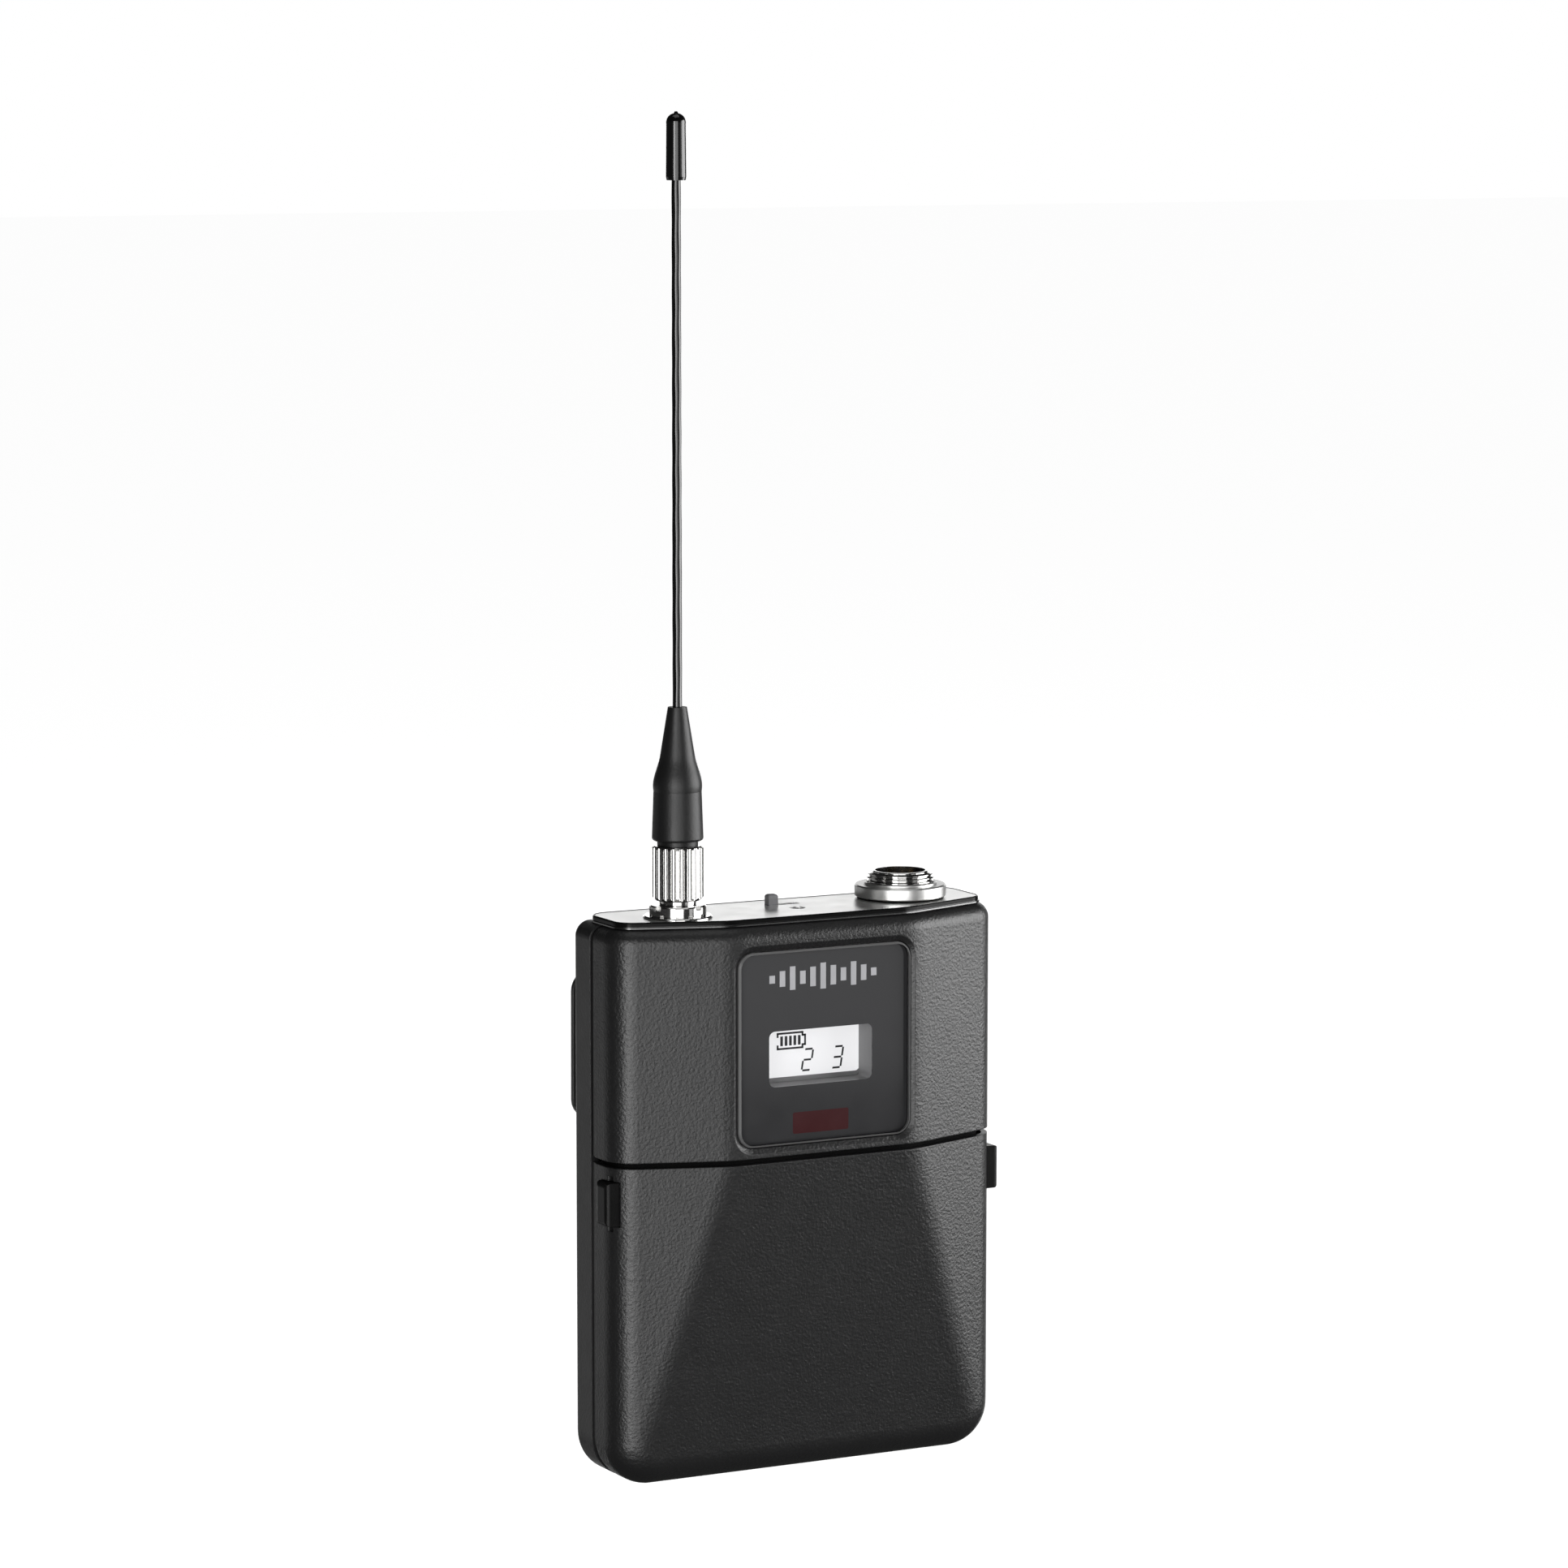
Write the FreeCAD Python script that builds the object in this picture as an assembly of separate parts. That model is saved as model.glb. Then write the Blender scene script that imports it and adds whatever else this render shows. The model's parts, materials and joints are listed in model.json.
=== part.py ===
"""Wireless bodypack transmitter, built as separate pieces.

Millimetres. X is the wearer's view from left to right, Y runs from the display side (-Y) to the
belt clip side (+Y), Z is up. The origin is the middle of the foot of the case.
"""
import FreeCAD
import Part
import math
import os

Vector = FreeCAD.Vector

# ---- driving dimensions ------------------------------------------------------------------------
WIDTH = 66.0
DEPTH = 20.0
CASE_TOP = 86.0
WALL = 1.4
DOOR_WALL = 0.9
FACET_HALF = 15.7            # half width of the flat front facet
FACET_ANGLE = 18.9           # how far the side facets turn back
DOOR_LEAN = 5.8              # how far the door's centre facet leans back
DOOR_TOP = 49.65
DOOR_GAP = 0.9
FRONT_CORNER = 5.0           # round between side facet and side
CREASE_ROUND = 11.0          # soft round between centre and side facets
FOOT_ROUND = 7.0             # round of the foot seen from the front
FOOT_FRONT_ROUND = 5.2       # round from the front down under the foot
HEAD_ROUND = 2.4
BACK_ROUND = 1.2
SEAM_Y = 3.55                # rear limit of the front half and of the door
SEAM_GAP = 0.6
SEAM_RECESS = 0.35
RABBET = (0.95, 0.2)          # width and depth of the step beside the seam

HINGE_Y = 2.5
HINGE_Z = 1.05
HINGE_PIN_R = 0.5
HINGE_FIT = 0.05
HINGE_LUG_X = (20.0, 23.0)

CAP_SIDE_INSET = 1.4
CAP_BACK_ROUND = 3.5
CAP_RIM = 1.0
CAP_FLANGE = (0.3, 0.2)      # height and reach of the cap's lower edge
PLATE_SINK = 0.4             # depth of the cap's recess for the plate
PLATE_THICK = 0.34
PLATE_INSET = 0.5            # from the cap's edge to the plate's edge

LENS_SIZE = (29.6, 29.8)
LENS_MIDDLE_Z = 67.1
LENS_THICK = 1.0
LENS_CORNER = 2.5
LENS_BAND = 1.1              # bevelled band of the recess round the lens
SCREEN = (-9.26, 8.52, 61.05, 69.6)
SCREEN_DEPTH = 4.6
IR_WINDOW = (-5.2, 4.4, 53.6, 56.9)

ANTENNA = (-20.5, -0.7)
ANTENNA_TOP = 208.0
SOCKET_R = 3.15              # threaded barrel of the antenna socket
SOCKET_TIP = 93.5
SOCKET_NECK_R = 2.8
SOCKET_BORE_R = 2.0
SOCKET_NUT_R = 4.35
SOCKET_NUT_TOP = 88.9
COUPLING_Z = (89.6, 97.9)
COUPLING_R = 3.93
FLUTES = 20
COLLAR_R = 3.1
COLLAR_THICK = 0.75
BOOT_R = 3.9
BOOT_TOP = 118.9
WHIP_R = 0.72
WHIP_TOP = 198.6
TIP_FOOT = 197.8

MIC = (19.4, 1.9)
MIC_BARREL_R = 5.2
MIC_LIP_R = 4.3
MIC_BORE_R = 3.9
MIC_TIP = 91.2
MIC_CRESTS = 3
MIC_PITCH = 0.55
MIC_NUT_R = 7.1
MIC_NUT_TOP = 89.1
MIC_COLLAR = (5.65, 0.35)    # radius and height of the nut's raised inner collar
MIC_PIN_R = 0.5

SWITCH = (-0.3, 3.8)
SWITCH_SLOT = (5.6, 1.6)
SWITCH_TRAVEL = 3.6
STEM_PROUD = 1.7
LIGHT = (0.0, -0.7)
LIGHT_R = 1.25

CELL_R = 6.9
CELL_LENGTH = 49.5
CELL_Y = 1.65
CELL_Z = (13.2, 28.2)
BAY_HALF = 29.9              # outer half width of the battery tray's walls
BAY_TOP = 37.4
PANEL_Y = (1.5, 2.9)
BUTTON_X = (-8.0, 8.0)
BUTTON_Z = 43.0
BUTTON_R = 2.5
BUTTON_TRAVEL = 0.4

LATCH_Z = (40.8, 47.5)
LATCH_Y = (-3.5, 0.3)
LATCH_PROUD = 1.1
LATCH_FIT = 0.1
LATCH_SPRING = (-1.6, 44.1)  # y and z of the spring's axis

CLIP_SHEET = 0.8
CLIP_STAND_OFF = 9.6
CLIP_BEND_Z = 12.0
CLIP_BASE_TOP = 40.0
CLIP_TOP = 76.4
CLIP_LEAN = 0.5              # how far the blade leans back towards the case
CLIP_FLARE = 0.3
PADDLE_HALF = 29.0
PADDLE_FOOT = 53.4
STRAP_HALF = 13.0
FLEX_GAP = 0.7               # slot left at the bottom of the bend, where the spring gives

# ---- values worked out from them ---------------------------------------------------------------
HALF = WIDTH / 2
FRONT_Y = -DEPTH / 2
BACK_Y = DEPTH / 2
FACET_TAN = math.tan(math.radians(FACET_ANGLE))
FACET_COS = math.cos(math.radians(FACET_ANGLE))
LEAN_TAN = math.tan(math.radians(DOOR_LEAN))
LEAN_COS = math.cos(math.radians(DOOR_LEAN))
FRONT_CASE_FOOT = DOOR_TOP + DOOR_GAP
REAR_FRONT_Y = SEAM_Y + SEAM_GAP
CAP_TOP = CASE_TOP + CAP_RIM
PLATE_FOOT = CAP_TOP - PLATE_SINK
PLATE_TOP = PLATE_FOOT + PLATE_THICK
LENS_FRONT_Y = FRONT_Y
LENS_BACK_Y = LENS_FRONT_Y + LENS_THICK
MASK_BACK_Y = LENS_BACK_Y + 0.15
LENS_FLOOR_Y = MASK_BACK_Y + 0.15
LCD_Y = LENS_BACK_Y + SCREEN_DEPTH
BACKLIGHT_Y = LCD_Y + 1.2
DISPLAY_BOARD_Y = BACKLIGHT_Y + 0.8
BOARD_Y = 5.6                # front face of the main board
BOARD_THICK = 1.0
INNER_BACK_Y = BACK_Y - WALL
INNER_TOP = CASE_TOP - WALL
STEM_LEFT = SWITCH[0] - SWITCH_SLOT[0] / 2 + 0.15
BOOT_FOOT = COUPLING_Z[1] + COLLAR_THICK
BEND_R = CLIP_STAND_OFF / 2
BEND_Y = BACK_Y + BEND_R


# ---- helpers -----------------------------------------------------------------------------------
def box(x0, x1, y0, y1, z0, z1):
    return Part.makeBox(x1 - x0, y1 - y0, z1 - z0, Vector(x0, y0, z0))


def rod_x(x0, x1, y, z, r):
    return Part.makeCylinder(r, x1 - x0, Vector(x0, y, z), Vector(1, 0, 0))


def rod_y(y0, y1, x, z, r):
    return Part.makeCylinder(r, y1 - y0, Vector(x, y0, z), Vector(0, 1, 0))


def rod_z(z0, z1, at, r):
    return Part.makeCylinder(r, z1 - z0, Vector(at[0], at[1], z0), Vector(0, 0, 1))


def rounded_outline(corners, place):
    """Closed wire through corners (u, v, radius), each corner rounded by an arc."""
    edges = []
    ends = []
    count = len(corners)
    for i in range(count):
        u, v, r = corners[i]
        before = corners[i - 1]
        after = corners[(i + 1) % count]
        here = Vector(u, v, 0)
        to_before = (Vector(before[0], before[1], 0) - here).normalize()
        to_after = (Vector(after[0], after[1], 0) - here).normalize()
        half = to_before.getAngle(to_after) / 2
        if r <= 0:
            ends.append((here, here))
            continue
        reach = r / math.tan(half)
        start = here + to_before * reach
        stop = here + to_after * reach
        inward = (to_before + to_after).normalize()
        middle = here + inward * (r / math.sin(half) - r)
        edges.append(Part.Arc(place(start), place(middle), place(stop)).toShape())
        ends.append((start, stop))
    for i in range(count):
        leave = ends[i][1]
        arrive = ends[(i + 1) % count][0]
        if (leave - arrive).Length > 1e-6:
            edges.append(Part.makeLine(place(leave), place(arrive)))
    return Part.Wire(Part.__sortEdges__(edges))


def prism_z(corners, z0, z1):
    wire = rounded_outline(corners, lambda p: Vector(p.x, p.y, z0))
    return Part.Face(wire).extrude(Vector(0, 0, z1 - z0))


def prism_y(corners, y0, y1):
    """Outline given as (x, z, radius), swept along Y."""
    wire = rounded_outline(corners, lambda p: Vector(p.x, y0, p.y))
    return Part.Face(wire).extrude(Vector(0, y1 - y0, 0))


def prism_x(corners, x0, x1):
    """Outline given as (y, z, radius), swept along X."""
    wire = rounded_outline(corners, lambda p: Vector(x0, p.x, p.y))
    return Part.Face(wire).extrude(Vector(x1 - x0, 0, 0))


def rectangle(u0, u1, v0, v1, r):
    return [(u0, v0, r), (u1, v0, r), (u1, v1, r), (u0, v1, r)]


def grown(limits, by):
    return (limits[0] - by, limits[1] + by, limits[2] - by, limits[3] + by)


def turned(profile, at):
    """Solid of revolution about the vertical through at; profile holds (radius, z)."""
    points = [Vector(at[0] + r, at[1], z) for r, z in profile]
    face = Part.Face(Part.makePolygon(points + [points[0]]))
    return face.revolve(Vector(at[0], at[1], 0), Vector(0, 0, 1), 360)


def coil_x(x0, x1, y, z, r0, r1, wire_r, turns):
    """Closed rings side by side, standing for a conical coil spring along X."""
    rings = []
    pitch = (x1 - x0 - 2 * wire_r) / (turns - 1)
    for i in range(turns):
        ring_r = r0 + (r1 - r0) * i / (turns - 1)
        centre = Vector(x0 + wire_r + pitch * i, y, z)
        rings.append(Part.makeTorus(ring_r, wire_r, centre, Vector(1, 0, 0)))
    return Part.makeCompound(rings)


def joined(shapes):
    return shapes[0].multiFuse(shapes[1:]).removeSplitter() if len(shapes) > 1 else shapes[0]


def both_sides(shape):
    return [shape, shape.mirror(Vector(0, 0, 0), Vector(1, 0, 0))]


# ---- outlines of the case ----------------------------------------------------------------------
def facet_y(x, inset):
    """Y of the side facet at x, moved inwards by inset."""
    return FRONT_Y + (x - FACET_HALF) * FACET_TAN + inset / FACET_COS


def plan_corners(inset, back, back_round):
    """Plan outline of the upper case: flat centre, facets, sides and back."""
    side = HALF - inset
    crease = FACET_HALF - inset * math.tan(math.radians(FACET_ANGLE / 2))
    corner = max(FRONT_CORNER - inset, 0.4)
    soft = CREASE_ROUND - inset
    return [
        (-side, back, back_round),
        (-side, facet_y(side, inset), corner),
        (-crease, FRONT_Y + inset, soft),
        (crease, FRONT_Y + inset, soft),
        (side, facet_y(side, inset), corner),
        (side, back, back_round),
    ]


def case_front_view(inset):
    """Outline of the case seen from the front: rounded foot, tighter head."""
    side = HALF - inset
    foot = FOOT_ROUND - inset
    head = max(HEAD_ROUND - inset, 0.5)
    top = CASE_TOP - inset
    return [(-side, inset, foot), (side, inset, foot), (side, top, head), (-side, top, head)]


def cap_corners(inset):
    return plan_corners(CAP_SIDE_INSET + inset, BACK_Y - 0.9 - inset, CAP_BACK_ROUND - inset)


def leaning_front(inset, z):
    """Y of the door's leaning centre facet at height z, moved inwards by inset."""
    return FRONT_Y + (DOOR_TOP - z) * LEAN_TAN + inset / LEAN_COS


# ---- case --------------------------------------------------------------------------------------
def rear_case():
    outer = prism_y(case_front_view(0), REAR_FRONT_Y, BACK_Y)
    back_edges = [e for e in outer.Edges if all(v.Y > BACK_Y - 0.01 for v in e.Vertexes)]
    outer = outer.makeFillet(BACK_ROUND, back_edges)
    inner = prism_y(case_front_view(WALL), REAR_FRONT_Y - 1, INNER_BACK_Y)
    shell = outer.cut(inner)
    shell = shell.cut(prism_z(plug_corners(0), INNER_TOP - 1, CASE_TOP + 1))
    for lug in hinge_lugs():
        shell = shell.fuse(lug)
    pin_hole = rod_x(-HALF, HALF, HINGE_Y, HINGE_Z, HINGE_PIN_R + 0.01)
    for x, z in case_screw_places():
        boss = rod_y(REAR_FRONT_Y, INNER_BACK_Y, x, z, 2.2)
        shell = shell.fuse(boss)
        shell = shell.cut(rod_y(REAR_FRONT_Y - 1, BACK_Y + 1, x, z, 0.85))
        shell = shell.cut(rod_y(BACK_Y - 0.9, BACK_Y + 1, x, z, 1.7))
    for x, z in clip_screw_places():
        shell = shell.cut(rod_y(INNER_BACK_Y - 1, BACK_Y + 1, x, z, 0.85))
    return shell.cut(pin_hole).removeSplitter()


def hinge_lugs():
    """Two lugs that reach forward from the rear case round the door's hinge line."""
    x0, x1 = HINGE_LUG_X
    eye = rod_x(x0, x1, HINGE_Y, HINGE_Z, HINGE_Z)
    arm = box(x0, x1, HINGE_Y, REAR_FRONT_Y + 0.5, 0, 2 * HINGE_Z)
    return both_sides(eye.fuse(arm))


def case_screw_places():
    return [(x, z) for x in (-28.4, 28.4) for z in (48.7, 80.5)]


def clip_screw_places():
    return [(0, 18.0), (0, 34.0)]


def plug_corners(inset):
    """Outline of the opening in the top of the case that the cap's plug fills."""
    return plan_corners(3.0 + inset, BACK_Y - 2.4 - inset, 0.5)


def front_case():
    shell = prism_z(plan_corners(0, BACK_Y, 0), FRONT_CASE_FOOT, CASE_TOP)
    shell = shell.common(box(-HALF - 1, HALF + 1, FRONT_Y - 1, SEAM_Y, 0, CASE_TOP))
    head = [e for e in shell.Edges
            if all(abs(v.Z - CASE_TOP) < 0.01 for v in e.Vertexes)
            and not all(abs(v.Y - SEAM_Y) < 0.01 for v in e.Vertexes)]
    shell = shell.makeFillet(HEAD_ROUND, head)
    hollow = prism_z(plan_corners(WALL, BACK_Y, 0), FRONT_CASE_FOOT - 1, INNER_TOP)
    shell = shell.cut(hollow)
    shell = shell.cut(prism_z(plug_corners(0), INNER_TOP - 1, CASE_TOP + 1))
    pad = box(-17.4, 17.4, FRONT_Y + WALL, FRONT_Y + WALL + 1.2, FRONT_CASE_FOOT, 84.0)
    pad = pad.common(prism_z(plan_corners(WALL, BACK_Y, 0), 0, CASE_TOP))
    shell = shell.fuse(pad)
    shell = shell.cut(lens_recess()).cut(lens_bevel()).cut(rabbet())
    return shell.cut(lens_floor_opening()).removeSplitter()


def lens_limits(by):
    half_w = LENS_SIZE[0] / 2 + by
    half_h = LENS_SIZE[1] / 2 + by
    return (-half_w, half_w, LENS_MIDDLE_Z - half_h, LENS_MIDDLE_Z + half_h)


def lens_recess():
    return prism_y(rectangle(*lens_limits(0.2), LENS_CORNER + 0.2), FRONT_Y - 1, LENS_FLOOR_Y)


def lens_bevel():
    """Sloping band that leads from the case face down to the lens edge."""
    def ring(by, y):
        corners = rectangle(*lens_limits(by), LENS_CORNER + by)
        return rounded_outline(corners, lambda p: Vector(p.x, y, p.y))
    return Part.makeLoft([ring(LENS_BAND + 0.1, FRONT_Y - 0.1), ring(0.2, FRONT_Y + 0.5)], True)


def lens_floor_opening():
    return prism_y(rectangle(-12.5, 12.5, 52.6, 80.4, 1.0), FRONT_Y, FRONT_Y + 4)


def rabbet():
    """Shallow step round the rear edge of the front half, beside the seam."""
    width, depth = RABBET
    ring = prism_y(case_front_view(-1.0), SEAM_Y - width, SEAM_Y + 0.1)
    return ring.cut(prism_y(case_front_view(depth), SEAM_Y - width, SEAM_Y + 0.1))


def seam_gasket():
    strip = prism_y(case_front_view(SEAM_RECESS), SEAM_Y, REAR_FRONT_Y)
    strip = strip.cut(prism_y(case_front_view(1.3), SEAM_Y, REAR_FRONT_Y))
    strip = strip.common(box(-HALF, HALF, 0, BACK_Y, FRONT_CASE_FOOT, CASE_TOP))
    return strip.cut(prism_z(plug_corners(0), INNER_TOP - 1, CASE_TOP))


def chassis():
    """Inner frame: lip behind the door's top edge, and the shelf over the battery bay."""
    upper = prism_z(plan_corners(WALL, SEAM_Y - 0.05, 0), FRONT_CASE_FOOT, 52.0)
    lower = prism_z(plan_corners(WALL + 0.35, SEAM_Y - 0.05, 0), 48.4, FRONT_CASE_FOOT)
    frame = upper.fuse(lower)
    frame = frame.cut(box(-13, 13, FRONT_Y, FRONT_Y + 4, FRONT_CASE_FOOT, 53))
    frame = frame.cut(box(-18, 18, FRONT_Y, FRONT_Y + 2.65, FRONT_CASE_FOOT, 53))
    for z0, z1 in ((48, 49.6), (50.8, 53)):
        frame = frame.cut(prism_z(plan_corners(WALL + 1.4, SEAM_Y + 1, 0), z0, z1))
    return frame.removeSplitter()


# ---- battery door ------------------------------------------------------------------------------
def door_body(inset):
    """Wedge-fronted foot of the case, moved inwards by inset, up to the door's top edge."""
    side = HALF - inset
    apex = facet_y(0, inset)
    corners = [(-side, SEAM_Y, 0), (-side, facet_y(side, inset), 0), (0, apex, 0),
               (side, facet_y(side, inset), 0), (side, SEAM_Y, 0)]
    body = prism_z(corners, 0, DOOR_TOP)
    reach = 30.0
    wedge = Part.makePolygon([
        Vector(-HALF, leaning_front(inset, DOOR_TOP + reach), DOOR_TOP + reach),
        Vector(-HALF, leaning_front(inset, -reach), -reach),
        Vector(-HALF, -reach, -reach),
        Vector(-HALF, -reach, DOOR_TOP + reach),
        Vector(-HALF, leaning_front(inset, DOOR_TOP + reach), DOOR_TOP + reach)])
    body = body.cut(Part.Face(wedge).extrude(Vector(WIDTH, 0, 0)))
    creases = [e for e in body.Edges
               if abs(e.Vertexes[0].Z - e.Vertexes[-1].Z) > 40
               and 5 < abs(e.Vertexes[0].X) < HALF - inset - 1]
    body = body.makeFillet(CREASE_ROUND - inset, creases)
    foot = prism_y(case_front_view(inset), FRONT_Y - 10, SEAM_Y)
    body = body.common(foot)
    chain = [e for e in body.Edges if is_front_rim(e, inset)]
    return body.makeFillet(FOOT_FRONT_ROUND - inset, chain)


def is_front_rim(edge, inset):
    """True for the edges that run down the front corners and along the front of the foot."""
    mid = edge.valueAt((edge.FirstParameter + edge.LastParameter) / 2)
    side_y = facet_y(HALF - inset, inset)
    on_corner = abs(abs(mid.x) - (HALF - inset)) < 0.01 and abs(mid.y - side_y) < 0.01
    low = mid.z < FOOT_ROUND and mid.y < SEAM_Y - 0.1
    on_foot = low and abs(mid.z - inset) < 0.01
    ends = [v.Point for v in edge.Vertexes]
    on_bend = (low and len(ends) == 2 and abs(ends[0].z - ends[1].z) > FOOT_ROUND - inset - 0.5
               and all(p.y < SEAM_Y - 0.1 for p in ends) and abs(mid.x) > HALF - FOOT_ROUND)
    return on_corner or on_foot or on_bend


def battery_door():
    shell = door_body(0).cut(door_body(DOOR_WALL)).cut(rabbet())
    bead = rod_x(-25.5, 25.5, HINGE_Y, HINGE_Z, HINGE_Z)
    heel = box(-HALF, HALF, HINGE_Y, SEAM_Y + 0.1, -0.1, HINGE_Z)
    shell = shell.cut(heel).fuse(bead)
    x0, x1 = HINGE_LUG_X
    notch = box(x0 - 0.2, x1 + 0.2, HINGE_Y - 1.5, SEAM_Y + 1, -0.1, 3.0)
    for gap in both_sides(notch):
        shell = shell.cut(gap)
    shell = shell.cut(rod_x(-HALF, HALF, HINGE_Y, HINGE_Z, HINGE_PIN_R + HINGE_FIT))
    for side in both_sides(latch_hole()):
        shell = shell.cut(side)
    for rib in both_sides(latch_rib()):
        shell = shell.fuse(rib)
    return shell.removeSplitter()


def hinge_pins():
    x0, x1 = HINGE_LUG_X
    return Part.makeCompound(both_sides(rod_x(x0 - 1.8, x1 + 1.8, HINGE_Y, HINGE_Z, HINGE_PIN_R)))


def door_pad():
    middle = sum(CELL_Z) / 2
    front = leaning_front(DOOR_WALL, middle - 1.2) + 0.02
    return box(-15, 15, front, front + 2.6, middle - 1.2, middle + 1.2)


def latch_hole():
    y0, y1 = LATCH_Y
    z0, z1 = LATCH_Z
    fit = LATCH_FIT
    hole = box(28, HALF + 1, y0 - fit, y1 + fit, z0 - fit, z1 + fit)
    notch_y = y0 + 0.9
    notch = box(HALF - 3, HALF + 1, notch_y, notch_y + 0.9, z0 - 0.9, z1 + 0.9)
    return hole.fuse(notch)


def latch_rib():
    """Upright rib inside the door that backs the latch spring."""
    front = facet_y(26.0, DOOR_WALL) - 0.5
    rib = box(25.2, 26.2, front, 0.5, 41.6, 46.6)
    post = rod_x(26.0, 27.4, *LATCH_SPRING, 0.7)
    return rib.fuse(post)


def latch():
    """Right-hand latch: pushed tab, flange and the tongue that reaches behind the seam."""
    y0, y1 = LATCH_Y
    z0, z1 = LATCH_Z
    face = HALF + LATCH_PROUD
    tab = box(29.5, face, y0, y1, z0, z1)
    proud = [e for e in tab.Edges if all(v.X > face - 0.01 for v in e.Vertexes)]
    tab = tab.makeFillet(0.8, proud)
    flange = box(28.9, 30.1, -3.2, 2.6, 39.9, 48.3)
    tongue = box(28.9, 29.85, 2.5, 5.2, 42.0, 46.2)
    cup = rod_x(28.8, 30.0, *LATCH_SPRING, 1.35)
    return joined([tab, flange, tongue]).cut(cup)


def latch_spring():
    return coil_x(26.25, 28.75, *LATCH_SPRING, 1.0, 1.0, 0.2, 6)


# ---- battery bay -------------------------------------------------------------------------------
def battery_tray():
    flange = prism_y(case_front_view(SEAM_RECESS), SEAM_Y + 0.1, REAR_FRONT_Y)
    flange = flange.cut(prism_y(case_front_view(3.0), SEAM_Y, REAR_FRONT_Y))
    flange = flange.common(box(-HALF, HALF, 0, BACK_Y, 2 * HINGE_Z + 0.3, 49.6))
    walls = [flange]
    shelf = BAY_TOP - 1.0
    walls += both_sides(box(BAY_HALF - 1.3, BAY_HALF, -3.2, INNER_BACK_Y, 5.2, shelf))
    walls += both_sides(box(BAY_HALF - 0.1, BAY_HALF + 0.3, SEAM_Y + 0.1, REAR_FRONT_Y,
                            5.2, shelf))
    walls.append(box(-BAY_HALF, BAY_HALF, -3.2, INNER_BACK_Y, shelf, BAY_TOP))
    walls.append(box(-BAY_HALF, BAY_HALF, 2.0, INNER_BACK_Y, 4.7, 5.4))
    return joined(walls)


def cell(z, nub_side):
    jacket = rod_x(-CELL_LENGTH / 2, CELL_LENGTH / 2, CELL_Y, z, CELL_R)
    rims = [e for e in jacket.Edges if e.Closed]
    jacket = jacket.makeFillet(0.4, rims)
    tip = CELL_LENGTH / 2 - 0.1
    nub = rod_x(tip, tip + 1.1, CELL_Y, z, 2.6)
    if nub_side < 0:
        nub = nub.mirror(Vector(0, 0, 0), Vector(1, 0, 0))
    return jacket.fuse(nub)


def contact_springs():
    lower_z, upper_z = CELL_Z
    right = coil_x(24.8, 28.0, CELL_Y, upper_z, 2.4, 3.6, 0.3, 5)
    left = coil_x(24.8, 28.0, CELL_Y, lower_z, 2.4, 3.6, 0.3, 5)
    return Part.makeCompound([right, left.mirror(Vector(0, 0, 0), Vector(1, 0, 0))])


def contact_plates():
    """Sprung end plates: one behind each coil, one in front of each button end."""
    plates = []
    for z, coil_side in ((CELL_Z[1], 1), (CELL_Z[0], -1)):
        behind = box(28.05, 28.55, -1.5, 4.5, z - 5, z + 5)
        touching = box(25.8, 28.55, -1.2, 4.2, z - 3, z + 3)
        touching = touching.cut(box(26.2, 28.15, -2, 5, z - 2.6, z + 2.6))
        for plate, side in ((behind, coil_side), (touching, -coil_side)):
            if side < 0:
                plate = plate.mirror(Vector(0, 0, 0), Vector(1, 0, 0))
            plates.append(plate)
    return Part.makeCompound(plates)


def control_panel():
    front_y, back_y = PANEL_Y
    panel = box(-26, 26, front_y, back_y, BAY_TOP, 48.6)
    front = [e for e in panel.Edges if all(v.Y < front_y + 0.01 for v in e.Vertexes)]
    panel = panel.makeFillet(0.5, front)
    for x in BUTTON_X:
        panel = panel.cut(rod_y(front_y - 1, back_y + 1, x, BUTTON_Z, BUTTON_R + 0.1))
        panel = panel.cut(rod_y(back_y - 0.6, back_y + 1, x, BUTTON_Z, BUTTON_R + 0.9))
    return panel


def push_button(x):
    face_y = PANEL_Y[0] - 1.1
    back_y = PANEL_Y[1]
    head = rod_y(face_y, back_y, x, BUTTON_Z, BUTTON_R)
    rim = [e for e in head.Edges if e.Closed and e.Vertexes[0].Y < face_y + 0.01]
    head = head.makeFillet(0.6, rim)
    flange = rod_y(back_y - 0.2, back_y + 0.3, x, BUTTON_Z, BUTTON_R + 0.7)
    plunger = rod_y(back_y + 0.3, back_y + 1.3, x, BUTTON_Z, 1.0)
    return joined([head, flange, plunger])


def tact_switches():
    pair = []
    for x in BUTTON_X:
        base = box(x - 2.2, x + 2.2, BOARD_Y - 0.7, BOARD_Y, BUTTON_Z - 2.2, BUTTON_Z + 2.2)
        touch_y = PANEL_Y[1] + 1.3 + BUTTON_TRAVEL + 0.05
        pair.append(base.fuse(rod_y(touch_y, BOARD_Y - 0.6, x, BUTTON_Z, 1.2)))
    return Part.makeCompound(pair)


# ---- electronics -------------------------------------------------------------------------------
def board_screw_places():
    return [(-26.5, 57.0), (26.5, 57.0), (0.0, 74.0)]


def main_board():
    upper = prism_y(rectangle(-30.0, 30.0, 51.0, 76.5, 1.0), BOARD_Y, BOARD_Y + BOARD_THICK)
    lower = box(-25, 25, BOARD_Y, BOARD_Y + BOARD_THICK, 38.4, 52)
    board = upper.fuse(lower)
    for x, z in board_screw_places():
        board = board.cut(rod_y(BOARD_Y - 1, BOARD_Y + 2, x, z, 1.1))
    return board.removeSplitter()


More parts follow.
